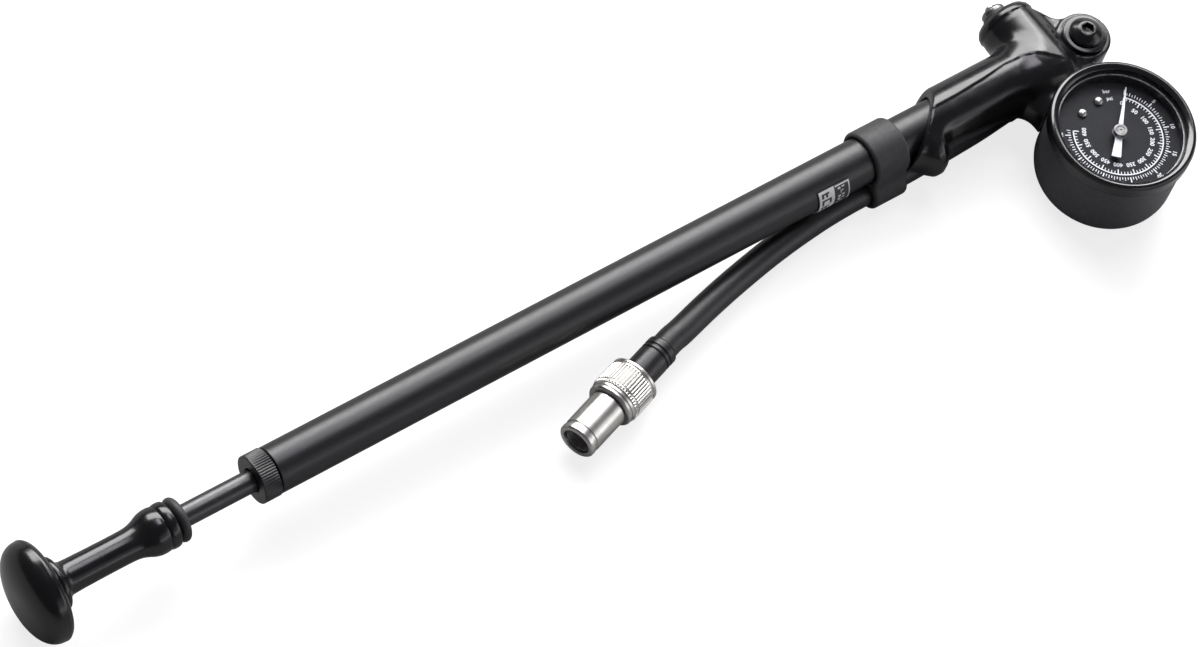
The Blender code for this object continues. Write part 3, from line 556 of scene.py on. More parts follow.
def polygon(x, y, outline):
    """Distance to a closed polygon in the plane."""
    near = np.full(len(x), 1e9)
    sign = np.ones(len(x))
    for (ax, ay), (bx, by) in zip(outline, outline[1:] + outline[:1]):
        ex, ey, wx, wy = bx - ax, by - ay, x - ax, y - ay
        t = np.clip((wx * ex + wy * ey) / (ex * ex + ey * ey), 0, 1)
        near = np.minimum(near, (wx - ex * t) ** 2 + (wy - ey * t) ** 2)
        above, below, left = y >= ay, y < by, ex * wy > ey * wx
        flip = (above & below & left) | (~above & ~below & ~left)
        sign = np.where(flip, -sign, sign)
    return sign * np.sqrt(near)


def slab(flat, height, half, edge):
    """Distance to a flat shape given by its distance in the plane, this much to each side of it."""
    return edged(flat, np.abs(height) - half, edge)


def surface(distance, low, high, cell):
    """Mesh of the surface where the distance is 0: one point in each cell that it crosses."""
    low = np.array(low, float)
    counts = np.ceil((np.array(high, float) - low) / cell).astype(int) + 1
    axes = [low[i] + cell * np.arange(counts[i]) for i in range(3)]
    grid = np.stack(np.meshgrid(*axes, indexing="ij"), -1).reshape(-1, 3)
    values = np.concatenate([distance(part) for part in np.array_split(grid, 12)]).reshape(counts)
    corners = [(i, j, k) for i in (0, 1) for j in (0, 1) for k in (0, 1)]
    n = counts - 1
    held = np.stack([values[i : i + n[0], j : j + n[1], k : k + n[2]] for i, j, k in corners], -1)
    crossed = (held.min(-1) < 0) & (held.max(-1) >= 0)
    cells = np.argwhere(crossed)
    number = np.full(tuple(n), -1)
    number[crossed] = np.arange(len(cells))
    held = held[crossed]
    total, hits = np.zeros((len(cells), 3)), np.zeros(len(cells))
    for a in range(8):
        for b in range(a + 1, 8):
            ca, cb = np.array(corners[a]), np.array(corners[b])
            if np.abs(ca - cb).sum() != 1:
                continue
            va, vb = held[:, a], held[:, b]
            cut = (va < 0) != (vb < 0)
            t = np.where(cut, va / np.where(cut, va - vb, 1.0), 0.0)
            total += np.where(cut[:, None], ca + t[:, None] * (cb - ca), 0.0)
            hits += cut
    points = low + cell * (cells + total / hits[:, None])
    for _ in range(3):
        step = 0.02
        value = distance(points)
        slope = np.stack(
            [distance(points + step * u) - distance(points - step * u) for u in np.eye(3)], -1
        ) / (2 * step)
        move = -value[:, None] * slope / np.maximum((slope**2).sum(-1), 0.05)[:, None]
        size = np.linalg.norm(move, axis=1, keepdims=True)
        points = points + move * np.minimum(1.0, 0.5 * cell / np.maximum(size, 1e-9))
    faces = []
    inside = values < 0
    for axis in range(3):
        one, two = [i for i in range(3) if i != axis]
        ahead = np.zeros(3, int)
        ahead[axis] = 1
        here = inside[tuple(slice(0, counts[i] - ahead[i]) for i in range(3))]
        there = inside[tuple(slice(ahead[i], counts[i]) for i in range(3))]
        for spot in np.argwhere(here != there):
            if min(spot[one], spot[two]) < 1 or spot[one] >= n[one] or spot[two] >= n[two]:
                continue
            ring = []
            for da, db in ((0, 0), (-1, 0), (-1, -1), (0, -1)):
                cell_at = spot.copy()
                cell_at[one] += da
                cell_at[two] += db
                ring.append(number[tuple(cell_at)])
            faces.append(ring)
    return points, faces


# ---- the hose ----

MOUTH = Vector((84.94, -30.84, -7.55))
CHUCK_ANGLE = 17.6
INTO_CHUCK = Vector((math.cos(math.radians(CHUCK_ANGLE)), math.sin(math.radians(CHUCK_ANGLE)), 0))
HOSE_R = 4.0
HOSE_ROUTE = (
    (130.4, -16.8, -7.8), (142.0, -13.6, -8.4), (155.0, -10.5, -9.1), (170.0, -7.6, -9.7),
    (185.0, -5.7, -10.0), (197.0, -5.0, -10.05), (209.0, -5.0, -10.05), (220.0, -4.8, -10.2),
    (232.0, -4.2, -10.7), (245.0, -3.5, -10.9),
)
FERRULE_END = 39.4
HEAD_FERRULE = (Vector((256.5, -2.5, -10.6)), Vector((272.5, -1.0, -10.6)))


def behind_mouth(distance):
    """A point of the chuck's axis."""
    return MOUTH + INTO_CHUCK * distance


def make_hose():
    """Makes the hose from head to chuck, and gives it, the point where it starts and its length."""
    along = (HEAD_FERRULE[1] - HEAD_FERRULE[0]).normalized()
    knots = [behind_mouth(FERRULE_END + 0.3), behind_mouth(FERRULE_END + 4.0), *HOSE_ROUTE]
    knots = [Vector(k) for k in knots] + [HEAD_FERRULE[0] - along * 0.5]
    route = [Vector(p) for p in curved(knots, 5)]
    route.reverse()
    curve = bpy.data.curves.new("hose_rubber", "CURVE")
    curve.dimensions = "3D"
    curve.bevel_depth = HOSE_R * MM
    curve.bevel_resolution = 10
    curve.use_fill_caps = True
    line = curve.splines.new("POLY")
    line.points.add(len(route) - 1)
    for spot, point in zip(line.points, route):
        spot.co = (*world(point), 1.0)
    line.use_smooth = True
    curve.materials.append(skins["hose_rubber"])
    made = added("hose_rubber", curve)
    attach(made, "pump_body")
    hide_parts("hose")
    length = sum((b - a).length for a, b in zip(route, route[1:])) * MM
    return made, world(route[0]), length


# ---- barrel, label and end cap ----


def make_barrel():
    start, end = (local(corner).x for corner in (BARREL_LOW, BARREL_HIGH))
    outline = tube(5.8, BARREL_R, start, end, 0.35)
    piece("barrel_tube", *turned(outline, 128, direction=ALONG_X), "anodised_black", "barrel")

    outline = rounded(
        ((0.0, 3.5, 0.3), (0.0, 7.0, 0.45), (0.75, 7.0, 0.05), (5.3, 7.0, 0.1), (5.35, 5.6),
         (13.0, 5.6), (13.0, 4.6), (3.0, 4.6), (3.0, 3.5))
    )
    ribbed = [i for i, (along, out) in enumerate(outline) if 0.7 < along < 5.3 and out > 6.9]
    wave = (0.0, -0.02, -0.16, -0.24, -0.16, -0.02)
    piece("end_cap_knurled", *knurled(outline, ribbed, wave, 56), "anodised_black", "end_cap")


def on_barrel(x, degrees, radius):
    """A point round the barrel: 0 degrees is straight down and -90 is the pump's front."""
    a = math.radians(degrees)
    return (x, radius * math.sin(a), -radius * math.cos(a))


def wrapped(x_start, x_end, start, end, radius, thickness, columns=28):
    """A closed thin patch round the barrel."""
    rows = 2
    points, faces = [], []
    for level in (radius, radius + thickness):
        for i in range(rows + 1):
            for j in range(columns + 1):
                x = x_start + (x_end - x_start) * i / rows
                points.append(on_barrel(x, start + (end - start) * j / columns, level))
    wide = columns + 1
    layer = (rows + 1) * wide
    for i in range(rows):
        for j in range(columns):
            a = i * wide + j
            faces.append((a, a + 1, a + wide + 1, a + wide))
            faces.append(tuple(layer + k for k in (a, a + wide, a + wide + 1, a + 1)))
    rim = list(range(wide)) + [i * wide + columns for i in range(1, rows + 1)]
    rim += [rows * wide + j for j in range(columns - 1, -1, -1)]
    rim += [i * wide for i in range(rows - 1, 0, -1)]
    for a, b in zip(rim, rim[1:] + rim[:1]):
        faces.append((a, b, b + layer, a + layer))
    return points, faces


LABEL = (183.0, 194.0, -138.0, -35.0)  # from and to along the barrel, and round it in degrees
LABEL_THICK, PRINT_THICK = 0.09, 0.05
BARS = ((-128, 5), (-119, 9), (-106, 5), (-97, 7), (-86, 4), (-78, 9), (-65, 6), (-55, 8))
HOOKS = ((-130, 12), (-113, 16), (-92, 12), (-75, 16), (-54, 12))


def make_label():
    """A wrapped label with a white field, a black field and marks that spell nothing."""
    r = BARREL_R + 0.3
    start, end, low, high = LABEL
    split = start + 5.4
    base = wrapped(start, end, low, high, r, LABEL_THICK)
    piece("label_base", *base, "label_black", "barrel_label", slot="white_print")

    level = r + LABEL_THICK
    white = []

    def lighten(x_start, x_end, low, high, columns=28):
        white.append(wrapped(x_start, x_end, low, high, level, PRINT_THICK, columns))

    lighten(start + 0.15, split, low + 1.2, high - 1.2)
    lighten(end - 0.7, end - 0.35, low + 3, high - 3)
    for edge in (low + 3, high - 6):
        lighten(split + 0.4, end - 0.5, edge, edge + 3, 4)
    for index, (at, width) in enumerate(BARS):
        short = 1.1 if index % 3 == 1 else 0.0
        lighten(split + 1.2 + short, split + 2.1, at, at + width, 6)
        lighten(split + 2.6, split + 3.5 - short / 2, at, at + 3, 3)
    piece("label_white", *join(white), "label_white", slot="white_print", sharp=25)

    dark = []

    def darken(x_start, x_end, low, high, columns):
        dark.append(wrapped(start + x_start, start + x_end, low, high, level + PRINT_THICK,
                            0.03, columns))

    for index, (at, width) in enumerate(HOOKS):
        darken(1.0, 1.7, at, at + width, 8)
        darken(1.7, 3.6, at, at + 4.5, 4)
        if index % 2:
            darken(3.6, 4.3, at, at + width, 8)
        else:
            darken(2.4, 3.1, at + 4.5, at + width, 6)
    piece("label_marks", *join(dark), "label_black", slot="white_print", sharp=25)


# ---- plunger ----


def make_handle():
    steps = curved(((-63.6, 8.3), (-62.8, 8.75), (-61.7, 8.8), (-60.95, 8.35), (-60.75, 7.6)), 4)
    steps += curved(((-60.6, 7.4), (-60.2, 7.6), (-59.4, 7.45), (-58.9, 6.9)), 4)
    neck = curved(((-58.8, 6.6), (-58.4, 5.7), (-57.5, 4.95), (-55.5, 4.65), (-47.0, 4.5),
                   (-39.0, 4.5), (-36.2, 4.75), (-34.4, 5.3), (-32.8, 6.0), (-31.2, 6.45),
                   (-29.6, 6.55), (-28.3, 6.4)), 5)
    ring = curved(((-27.95, 6.35), (-27.3, 6.55), (-26.4, 6.6), (-25.5, 6.45), (-24.95, 6.05)), 4)
    outline = [(-68.0, 0), (-68.0, 4.0), (-63.6, 4.0)] + steps + neck + [(-28.1, 6.15)] + ring
    outline += [(-24.6, 5.3), (-24.6, 3.5), (-52.3, 3.5), (-52.3, 0)]
    piece("grip", *turned(outline, 128, direction=ALONG_X), "gloss_black", "handle_grip",
          body="handle", sharp=50)

    knob = [(-71.7, 0)]
    for share in np.sin(np.linspace(0.06, math.pi / 2, 26)):
        knob.append((-64.4 - 7.3 * max(0.0, 1 - share**2.5) ** 0.42, 14.5 * share))
    knob += [(-64.05, 14.56), (-63.75, 14.5)]
    knob += curved(((-63.45, 14.35), (-62.6, 13.6), (-62.0, 12.3), (-62.15, 11.0), (-62.75, 9.6),
                    (-63.5, 8.4), (-63.85, 7.9)), 4)
    knob += [(-63.9, 7.6), (-63.9, 4.3), (-68.3, 4.3), (-68.3, 0)]
    piece("knob_dome", *turned(knob, 144, direction=ALONG_X), "gloss_black", "knob", body="handle",
          sharp=60)

    round_side = [(-23.2 + 1.4 * math.cos(a), 5.0 + 1.4 * math.sin(a))
                  for a in np.linspace(math.pi, 0, 15)]
    bumper = [(-21.8, 3.45), (-24.6, 3.45)] + round_side
    piece("bumper", *turned(bumper, 96, direction=ALONG_X), "rubber", "handle_bumper",
          body="handle")

    low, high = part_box("piston_rod")
    start, end = local(low).x, local(high).x
    seat = local(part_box("piston")[0]).x - 0.3
    rod = rounded(((start, 0), (start, 3.15), (seat, 3.15), (seat, 2.0), (end, 2.0), (end, 0)), 0.3)
    piece("rod", *turned(rod, 64, direction=ALONG_X), "black_steel", "piston_rod", body="handle")


# ---- head ----

SOCKET_END = 248.9
VALVE_AT = (CROSS_X - 0.8, 19.4, -1.0)
# the hook: its profile, as (x, distance from the axis), and the angles that it spans
HOOK = ((230.5, 8.0), (227.8, 8.8), (226.8, 10.6), (225.4, 13.0), (223.8, 13.9), (222.2, 13.9),
        (220.6, 12.8), (218.9, 11.3), (217.0, 9.2), (216.2, 8.4), (216.2, 5.4), (230.5, 5.4))
HOOK_FROM, HOOK_TO, HOOK_FOOT = -150.0, 5.0, 7.4
# flat webs round the boss, as (x, y)
WEBS = ((264.0, 13.5), (276.6, 14.0), (277.6, 13.3), (278.7, 11.9), (279.7, 10.3), (280.9, 9.1),
        (282.6, 8.4), (284.5, 7.5), (286.0, 6.4), (286.0, -6.4), (283.0, -6.9), (264.0, -7.5))
RIB = ((274.0, -2.0), (286.0, -5.0), (285.5, -6.9), (281.0, -8.6), (279.8, -13.5), (272.0, -13.5))
# turned parts of the body, as (along, radius), and how steeply the cross body's axis falls
CROSS = ((19.3, -1.0), (19.3, 6.8), (18.8, 7.9), (17.6, 8.8), (16.2, 9.1), (15.9, 8.8),
         (14.0, 9.0), (4.0, 9.2), (-3.0, 9.2), (-5.5, 8.8), (-8.0, 7.9), (-10.5, 6.7),
         (-13.0, 5.8), (-13.0, -1.0))
SHOULDER = ((249.8, -1.0), (249.8, 8.25), (257.0, 9.2), (264.0, 9.2), (268.0, 8.0), (268.0, -1.0))
DROOP = 0.055
# the fine edge along the top, as (x, y), and how proud of the front the upper face stands there
CREASE = ((216.0, 0.1), (235.0, 0.4), (246.0, 1.2), (254.0, 2.2), (260.0, 1.9), (265.0, 0.1),
          (269.0, -2.9), (273.0, -5.9), (278.0, -9.5))
CREASE_RISE = 0.32
# the sleeve's slanted mouth, and the lane that it leaves for the hose
MOUTH_X, MOUTH_SLANT = 223.0, Vector((1.0, -0.94, -0.35)).normalized()
LANE_FROM, LANE_TO = np.array((210.0, -5.1, -10.3)), np.array((256.0, -2.9, -11.05))


def ramp(values):
    """Values held between 0 and 1."""
    return np.clip(values, 0, 1)


def hook_distance(x, y, z):
    """Distance to the hook: tallest at the middle of its angles, and fading out at both ends."""
    angle = np.degrees(np.arctan2(y, -z))
    height = 0.12 + 0.88 * np.sin(math.pi * ramp((angle - HOOK_FROM) / (HOOK_TO - HOOK_FROM)))
    out = np.hypot(y, z)
    level = np.where(out > HOOK_FOOT, HOOK_FOOT + (out - HOOK_FOOT) / height, out)
    span = math.radians(HOOK_TO - HOOK_FROM) / 2
    centre = math.radians((HOOK_TO + HOOK_FROM) / 2)
    off = np.abs((np.radians(angle) - centre + math.pi) % math.tau - math.pi) - span
    return smooth_max(polygon(x, level, HOOK) * height, off * out * 0.7, 1.0)


def crease_height(x, y, z):
    """How far the upper face stands out: all of it just behind the crease, and none 12 mm on."""
    line = np.interp(x, *zip(*CREASE))
    slope = np.interp(x + 0.5, *zip(*CREASE)) - np.interp(x - 0.5, *zip(*CREASE))
    past = (y - line) / np.sqrt(1 + slope**2)
    rise = ramp(past / 0.5 + 0.5) * ramp(1 - past / 12) * ramp(z / 4 - 0.5)
    return CREASE_RISE * rise * ramp((x - 222.0) / 6) * ramp((273.0 - x) / 5)


def head_distance(p):
    """Distance to the one-piece head: sleeve, hook, cross body, neck to the gauge, boss, webs."""
    x, y, z = p[:, 0], p[:, 1], p[:, 2]
    sleeve = cylinder(p, (214.0, 0, 0), (266.0, 0, 0), 8.75, 3.0)
    shoulder = polygon(x, np.hypot(y + 0.7, z + 0.4), SHOULDER)
    cross = polygon(y, np.hypot(x - CROSS_X, z + DROOP * np.maximum(y, 0)), CROSS)
    neck = cylinder(p, (263.4, 6.0, -1.5), (263.4, -20.6, -1.5), 6.96, 2.0)
    stem = cylinder(p, (CROSS_X, 0, -0.4), (CROSS_X, -16.6, -0.4), 5.5, 1.0)
    boss = cylinder(p, (*BOSS, -5.2), (*BOSS, 5.0), 7.9, 0.35)
    web, rib = (slab(polygon(x, y, outline), z - 0.35, 3.75, 1.0) for outline in (WEBS, RIB))
    body = smooth_min(smooth_min(sleeve, shoulder, 0.4), smooth_min(neck, stem, 3.0), 5.0)
    body = smooth_min(body, smooth_min(sleeve, cross, 5.0), 1.8)
    body = smooth_min(body, smooth_min(smooth_min(boss, rib, 1.2), web, 1.2), 2.4)
    body = smooth_min(body, hook_distance(x, y, z), 1.4) - crease_height(x, y, z)

    body = smooth_max(body, -((p - np.array((MOUTH_X, 0, 0))) @ np.array(MOUTH_SLANT)), 0.5)
    start, end = HEAD_FERRULE
    along = (end - start).normalized()
    lane = (LANE_TO - LANE_FROM) / np.linalg.norm(LANE_TO - LANE_FROM)
    valve_x, _, valve_z = VALVE_AT
    cuts = (
        cylinder(p, (205.0, 0, 0), (SOCKET_END, 0, 0), BARREL_R + 0.3, 0.1),
        cylinder(p, (SOCKET_END - 1.9, 0, 0), (SOCKET_END + 8.1, 0, 0), 3.1, 0.1),
        cylinder(p, (*CASE_AT, -30), (*CASE_AT, 8.0), 20.7, 0.1),
        cylinder(p, (*CASE_AT, 8.0), (*CASE_AT, 30), 22.0, 0.1),
        cylinder(p, (*BOSS, -20), (*BOSS, 20), 3.3, 0.1),
        cylinder(p, (valve_x, 10.0, valve_z), (valve_x, 30, valve_z), 3.6, 0.1),
        cylinder(p, start - along * 8, start + along * 42, 4.8, 0.4),
        cylinder(p, LANE_FROM, LANE_FROM + lane * 66, 4.45, 0.4),
    )
    for cut in cuts:
        body = smooth_max(body, -cut, 0.5)
    return body


def make_head():
    low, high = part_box("head")
    low, high = local(low) - Vector((1.5, 5.5, 1.5)), local(high) + Vector((1.5, 1.5, 1.5))
    points, faces = surface(head_distance, low, high, 0.42)
    piece("head_casting", points, faces, "gloss_black", "head", sharp=0)


def hexagon(angles, circumradius):
    """Radius of a hexagon at each angle."""
    sixth = math.pi / 3
    return circumradius * math.cos(sixth / 2) / np.cos((angles % sixth) - sixth / 2)


def make_swivel():
    centre = (*BOSS, 0)
    washer = rounded(((5.3, 3.3), (5.3, 6.5, 0.3), (6.1, 6.5, 0.3), (6.3, 5.9, 0.2), (6.3, 3.3)))
    piece("swivel_washer_ring", *turned(washer, 96, centre), "gloss_black", "swivel_washer",
          slot="black_steel")
    shank = ((-14.0, 3.0), (-4.0, 3.0), (-4.0, 2.3), (-2.3, 2.3), (-2.3, 3.0), (1.8, 3.0),
             (1.8, 2.3), (3.5, 2.3), (3.5, 3.0), (6.6, 3.0), (6.6, 4.95), (7.1, 4.95))
    dome = ((7.15, 4.9), (7.6, 4.6), (8.1, 4.0), (8.6, 3.3), (9.0, 2.7), (9.15, 2.3))
    outline = [(-14.0, 0)] + rounded(shank, 0.12, closed=False) + curved(dome, 4)
    # the socket's first rings are hexagons, each with its circumradius
    hexes = {len(outline) + step: size for step, size in enumerate((2.05, 1.9, 1.85, 1.8))}
    outline += [(9.12, 1.0), (9.0, 1.0), (8.8, 1.0), (7.5, 1.0), (7.2, 0)]

    def socket(ring, angles):
        return hexagon(angles, hexes[ring]) - 1.0 if ring in hexes else 0.0

    piece("swivel_bolt_head", *turned(outline, 96, centre, ripple=socket), "gloss_black",
          "swivel_bolt", slot="black_steel", sharp=35)

    top, bottom, r = -5.5, -14.9, 6.4
    cup = rounded(((bottom, 0), (bottom, r, 0.6), (top, r, 0.5), (top, 3.3), (-14.3, 3.3),
                   (-14.3, 0)))
    start, end = HEAD_FERRULE
    along = (start - end).normalized()
    barb = rounded(((0, 0), (0, 2.2), (17.5, 2.2), (17.5, 0)), 0.2)
    fitting = join((turned(cup, 96, centre), turned(barb, 36, end - along * 3.5, along)))
    piece("swivel_fitting_cup", *fitting, "nickel", "swivel_fitting")
    ferrule = rounded(((0, 2.5), (0, 4.3, 0.5), (4.6, 4.3, 0.15), (5.0, 4.1, 0.1), (5.4, 4.3, 0.15),
                       (10.6, 4.3, 0.15), (11.0, 4.1, 0.1), (11.4, 4.3, 0.15), (16.0, 4.3, 0.5),
                       (16.0, 2.5)))
    piece("head_ferrule", *turned(ferrule, 72, end + along * 0.15, along), "anodised_black",
          "hose_ferrule_head")


def make_bleed_valve():
    washer = rounded(((-0.4, 3.35), (-0.4, 4.3, 0.2), (1.3, 4.3, 0.45), (1.3, 3.35)))
    piece("bleed_washer", *turned(washer, 72, VALVE_AT, ALONG_Y), "rubber")
    collar = ((-8.0, 1.2), (-8.0, 3.3), (1.35, 3.3), (1.35, 3.75, 0.25), (2.5, 3.75, 0.5),
              (3.2, 3.2, 0.5), (3.5, 1.9, 0.2), (-1.5, 1.9), (-1.5, 2.9), (-7.2, 2.9), (-7.2, 1.2))
    piece("bleed_collar", *turned(rounded(collar), 72, VALVE_AT, ALONG_Y), "steel",
          "bleed_valve_body", slot="nickel")
    stem = ((-7.6, 0), (-7.6, 0.7), (-2.0, 0.7), (-2.0, 1.6), (4.2, 1.6, 0.35), (4.6, 1.0, 0.2),
            (4.6, 0))
    piece("bleed_stem", *turned(rounded(stem, 0.15), 48, VALVE_AT, ALONG_Y), "plated",
          "bleed_button", body="bleed_button", slot="nickel")


# ---- gauge ----

DIAL_TOP, PRINT_HIGH = 8.0, 0.05
ZERO, SWEEP = 45.0, 260.0  # degrees: where the scales start, and how far they run clockwise
INNER_RING = 12.95
INNER_STEPS, OUTER_STEPS = 60, 41


def spun(x, y, centre, degrees):
    """A point of the dial's plane, given from a centre and turned about it."""
    a = math.radians(degrees)
    return (centre[0] + x * math.cos(a) - y * math.sin(a),
            centre[1] + x * math.sin(a) + y * math.cos(a))


def around(radius, degrees):
    """A point of the dial's plane, from the gauge's centre."""
    return spun(radius, 0.0, GAUGE, degrees)


def plate(outline, bottom, top):
    """A thin closed prism on an outline of (x, y)."""
    count = len(outline)
    points = [(x, y, bottom) for x, y in outline] + [(x, y, top) for x, y in outline]
    faces = [tuple(range(count))[::-1], tuple(range(count, 2 * count))]
    for i in range(count):
        j = (i + 1) % count
        faces.append((i, j, j + count, i + count))
    return points, faces


def mark(inner, outer, degrees, width):
    """A tick of the scale."""
    a = math.radians(degrees)
    side = Vector((-math.sin(a), math.cos(a))) * width / 2
    near, far = Vector(around(inner, degrees)), Vector(around(outer, degrees))
    outline = [tuple(p) for p in (near - side, far - side, far + side, near + side)]
    return plate(outline, DIAL_TOP, DIAL_TOP + PRINT_HIGH)


def arc_band(inner, outer, start, end):
    """A printed line round the dial, from one angle to another."""
    count = 120
    angles = np.linspace(start, end, count)
    points, faces = [], []
    for z in (DIAL_TOP, DIAL_TOP + PRINT_HIGH):
        for r in (inner, outer):
            points += [(*around(r, a), z) for a in angles]
    for i in range(count - 1):
        a, b, c, d = i, count + i, 2 * count + i, 3 * count + i
        faces += [(a, a + 1, b + 1, b), (c, d, d + 1, c + 1)]
        faces += [(a, c, c + 1, a + 1), (b, b + 1, d + 1, d)]
    last = count - 1
    faces.append((0, count, 3 * count, 2 * count))
    faces.append((last, 2 * count + last, 3 * count + last, count + last))
    return points, faces


def lettering(text, size, at, turn):
    """Raised figures as a mesh: centred at a point of the dial's plane, turned by degrees."""
    curve = bpy.data.curves.new("figure", "FONT")
    curve.body = text
    curve.size = size
    curve.align_x, curve.align_y = "CENTER", "CENTER"
    curve.extrude = 0.02
    curve.offset = 0.024 * size
    curve.space_character = 1.05
    curve.resolution_u = 3
    holder = added("figure", curve)
    mesh = bpy.data.meshes.new_from_object(holder)
    bpy.data.objects.remove(holder)
    points = [(*spun(v.co.x, v.co.y, at, turn), DIAL_TOP + 0.02 + v.co.z) for v in mesh.vertices]
    return points, [tuple(face.vertices) for face in mesh.polygons]


def make_dial():
    centre = (*GAUGE, 0)
    outline = rounded(((7.4, 1.2), (7.4, 18.8), (8.0, 18.8), (8.0, 1.2)), 0.15)
    piece("dial_plate", *turned(outline, 128, centre), "dial_black", "gauge_dial")
    prints = [arc_band(INNER_RING, INNER_RING + 0.35, ZERO, ZERO - SWEEP)]
    for step in range(INNER_STEPS + 1):
        at = ZERO - SWEEP * step / INNER_STEPS
        long = step % 5 == 0
        prints.append(mark(12.98 - (1.45 if long else 0.8), 12.98, at, 0.32 if long else 0.22))
    for step in range(2 * OUTER_STEPS + 1):
        at = ZERO - SWEEP * step / (2 * OUTER_STEPS)
        depth = 1.7 if step % 10 == 0 else 1.1 if step % 2 == 0 else 0.75
        prints.append(mark(14.0, 14.0 + depth, at, 0.34 if step % 10 == 0 else 0.22))
    for number in range(1, 13):
        at = ZERO - SWEEP * number / 12
        prints.append(lettering(str(number * 50), 1.75, around(9.9, at), at - 90))
    for number in range(5, 41, 5):
        at = ZERO - SWEEP * number / OUTER_STEPS
        prints.append(lettering(str(number), 1.7, around(16.75, at), at - 90))
    prints.append(lettering("0", 1.7, around(11.0, ZERO + 2), ZERO - 90))
    prints.append(lettering("bar", 1.6, around(14.6, 66), 66 - 90))
    prints.append(lettering("psi", 1.6, around(12.2, 64), 64 - 90))
    piece("dial_print", *join(prints), "white_print", sharp=25)

    for side, degrees in (("right", 81.5), ("left", 114.5)):
        dome = [(8.25 + math.sin(a), 1.45 * math.cos(a)) for a in np.linspace(0, math.pi / 2, 9)]
        outline = [(5.0, 0), (5.0, 0.5), (8.25, 0.5)] + dome[:-1] + [(9.25, 0)]
        piece(f"stop_pin_{side}", *turned(outline, 48, (*around(11.9, degrees), 0)), "plated",
              f"dial_stop_pin_{side}", slot="nickel", sharp=50)


def make_pointer():
    hub = 2.1
    upper = [(15.6, 0.10), (2.4, 0.66)]
    upper += [(hub * math.cos(a), hub * math.sin(a)) for a in np.radians(np.linspace(25, 150, 24))]
    upper += [(-3.2, 1.05), (-8.4, 1.38)]
    outline = upper + [(x, -y) for x, y in reversed(upper)]
    outline = [spun(x, y, GAUGE, ZERO) for x, y in outline]
    blade = plate(outline, DIAL_TOP + 1.3, DIAL_TOP + 1.65)
    piece("pointer_blade", *blade, "white_print", "pointer", body="pointer", sharp=30)
    top = DIAL_TOP + 2.9
    outline = [(-2.6, 0), (-2.6, 0.6), (top - 0.95, 0.6), (top - 0.95, hub), (top, hub, 0.35),
               (top, 1.3), (top - 0.12, 1.15), (top - 0.12, 0.35), (top - 0.3, 0.25),
               (top - 0.3, 0)]
    piece("pointer_hub", *turned(rounded(outline, 0.08), 72, (*GAUGE, 0)), "steel", "pointer_shaft",
          body="pointer")


def make_gauge_case():
    centre = (*CASE_AT, 0)
    corner = ((-14.95, 15.3), (-14.3, 17.1), (-12.7, 18.9), (-11.0, 19.9), (-9.0, 20.45))
    outside = [(-15.0, 0), (-15.0, 14.6)] + curved(corner, 4)
    outside += [(-8.0, 20.55), (7.8, 20.65), (10.1, 20.65), (10.3, 20.5)]
    inside = [(10.3, 19.2), (-9.0, 19.0), (-11.2, 17.9), (-13.8, 15.0), (-13.8, 0)]
    piece("case_cup", *turned(outside + inside, 160, centre), "case_black", "gauge_case")
    bezel = ((8.4, 20.9, 0.1), (8.5, 21.15, 0.15), (9.1, 21.45, 0.3), (12.3, 21.45, 0.6),
             (13.2, 21.0, 0.5), (13.5, 20.3, 0.4), (13.3, 19.6, 0.3), (12.75, 18.85, 0.25),
             (12.45, 18.7, 0.1), (12.45, 20.9, 0.05))
    piece("bezel_ring", *turned(rounded(bezel, steps=4), 192, centre), "bezel_black", "gauge_bezel",
          slot="gloss_black", sharp=45)
    lens = rounded(((11.2, 0), (11.2, 20.4), (12.3, 20.4), (12.3, 0)), 0.2)
    piece("lens_window", *turned(lens, 128, centre), "clear_lens", "gauge_lens")
    liner = tube(18.15, 18.78, 8.05, 11.1, 0.12)
    piece("dial_liner", *turned(liner, 160, (*GAUGE, 0)), "steel")


# ---- keeper and chuck ----

KEEPER_LOW, KEEPER_HIGH = (local(corner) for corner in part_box("hose_keeper"))


def keeper_distance(p):
    """Distance to the rubber ring: one loop round the barrel and a smaller one round the hose."""
    y, z = p[:, 1], p[:, 2]
    ring, loop = np.hypot(y, z) - 8.4, np.hypot(y + 5.1, z + 9.3) - 5.7
    start, end = KEEPER_LOW.x, KEEPER_HIGH.x - 0.35
    body = slab(smooth_min(ring, loop, 3.4), p[:, 0] - (start + end) / 2, (end - start) / 2, 1.0)
    for hole_y, hole_z, r in ((0, 0, BARREL_R + 0.3), (-5.0, -10.05, HOSE_R + 0.3)):
        body = smooth_max(body, r - np.hypot(y - hole_y, z - hole_z), 0.5)
    return body


def make_keeper():
    margin = Vector((1, 1, 1))
    points, faces = surface(keeper_distance, KEEPER_LOW - margin, KEEPER_HIGH + margin, 0.4)
    piece("keeper_loop", points, faces, "rubber", "hose_keeper", body="keeper", sharp=0)


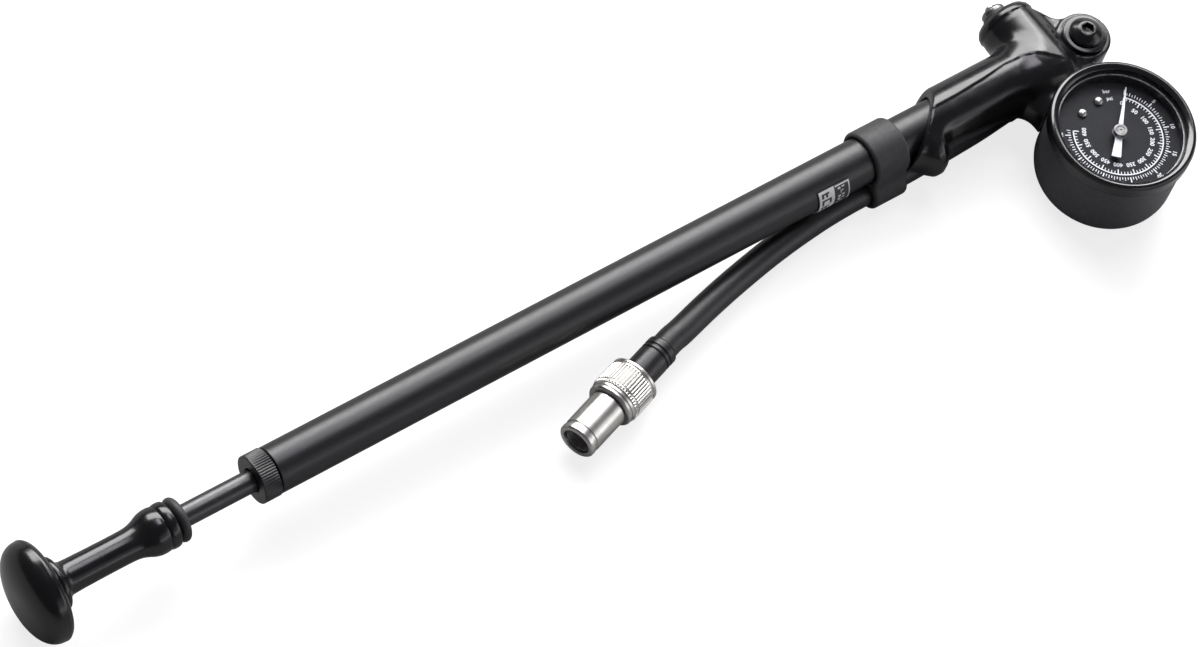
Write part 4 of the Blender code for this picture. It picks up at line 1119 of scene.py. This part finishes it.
def make_chuck():
    """Makes the chuck and gives its pieces, which ride on the chuck's body."""
    nose = ((0.0, 4.2, 0.15), (0.0, 5.2, 0.45), (0.5, 5.6, 0.3), (1.75, 5.6, 0.15),
            (1.95, 5.2, 0.1), (2.7, 5.2, 0.1), (2.95, 5.6, 0.15), (14.5, 5.6, 0.1), (14.5, 5.0),
            (26.4, 5.0), (26.4, 2.6), (13.2, 2.6), (13.2, 3.85), (8.6, 3.85), (8.6, 4.12), (0.4, 4.12))
    nose_piece = piece("chuck_nose_shell", *turned(rounded(nose), 96, MOUTH, INTO_CHUCK), "nickel",
                       "chuck_nose", body="chuck")

    bore_start, bore_end, pitch = 0.5, 8.2, 0.8
    rings = np.arange(bore_end, bore_start, -pitch / 8)
    outline = [(8.5, 3.9)] + [(float(s), 3.85) for s in rings]
    outline += [(0.35, 4.05), (0.35, 4.1), (8.5, 4.1)]

    def thread(ring, angles):
        index = ring - 1
        if not 0 <= index < len(rings):
            return 0.0
        turn = (rings[index] / pitch - angles / math.tau) % 1.0
        ease = min(1.0, index / 8, (len(rings) - 1 - index) / 6)
        return -0.42 * ease * (1 - np.abs(2 * turn - 1)) + 0.12

    thread_piece = piece("chuck_bore_thread", *turned(outline, 96, MOUTH, INTO_CHUCK, thread),
                         "steel", body="chuck", sharp=25)

    collar = ((14.8, 5.3), (14.8, 6.7, 0.3), (15.35, 7.05, 0.3), (15.95, 7.05, 0.2),
              (16.05, 6.8, 0.1), (16.2, 6.8, 0.1), (16.3, 7.15, 0.2), (17.1, 7.15, 0.2),
              (17.3, 7.3, 0.1), (17.45, 7.5, 0.1), (18.15, 7.5, 0.1), (18.3, 7.2, 0.1),
              (18.7, 7.2, 0.1), (18.85, 7.5, 0.1), (24.85, 7.5, 0.15), (25.1, 7.05, 0.1),
              (25.55, 7.05, 0.1), (25.75, 7.4, 0.2), (26.7, 7.4, 0.35), (26.7, 5.3))
    outline = rounded(collar, 0.1)
    ribbed = [i for i, (s, r) in enumerate(outline) if 17.4 < s < 24.95 and r > 7.3]
    wave = (0.0, 0.0, -0.08, -0.5, -0.58, -0.5, -0.08)
    shape = knurled(outline, ribbed, wave, 48, MOUTH, INTO_CHUCK)
    collar_piece = piece("chuck_collar_knurled", *shape, "nickel", "chuck_collar", body="chuck",
                         sharp=45)

    ferrule = ((27.2, 2.5), (27.2, 4.5, 0.3), (29.0, 4.7, 0.2), (34.9, 4.7, 0.2), (35.1, 4.35, 0.1),
               (35.4, 4.35, 0.1), (35.6, 4.7, 0.2), (36.4, 4.7, 0.2), (36.6, 4.35, 0.1),
               (36.9, 4.35, 0.1), (37.1, 4.7, 0.2), (39.4, 4.7, 0.6), (39.4, 2.5))
    ferrule_piece = piece("chuck_ferrule", *turned(rounded(ferrule), 96, MOUTH, INTO_CHUCK),
                          "anodised_black", "hose_ferrule_chuck")
    return nose_piece, thread_piece, collar_piece, ferrule_piece


# ---- what the CAD already shows well gets a material ----

KEPT = {
    "gloss_black": ("piston",),
    "rubber": ("piston_ring", "rod_wiper", "head_seal", "check_valve_poppet", "swivel_seal_upper",
               "swivel_seal_lower", "chuck_seal", "lens_gasket"),
    "steel": ("piston_nut", "check_valve_spring", "bleed_spring", "sector_arbor"),
    "brass": ("rod_bush", "check_valve_seat", "bourdon_tube", "gauge_stem", "movement_frame",
              "pointer_pinion", "sector_gear", "tube_link", "chuck_stem", "valve_depressor"),
}


def dress_kept():
    for skin, names in KEPT.items():
        for name in names:
            mesh = frame["nodes"][name].data
            mesh.materials.clear()
            mesh.materials.append(skins[skin])


def main():
    make_camera()
    make_studio()
    make_floor()
    make_skins()
    hose, exit_point, length = make_hose()
    make_barrel()
    make_label()
    make_handle()
    make_head()
    make_swivel()
    make_bleed_valve()
    make_gauge_case()
    make_dial()
    make_pointer()
    make_keeper()
    chuck = make_chuck()
    dress_kept()


main()
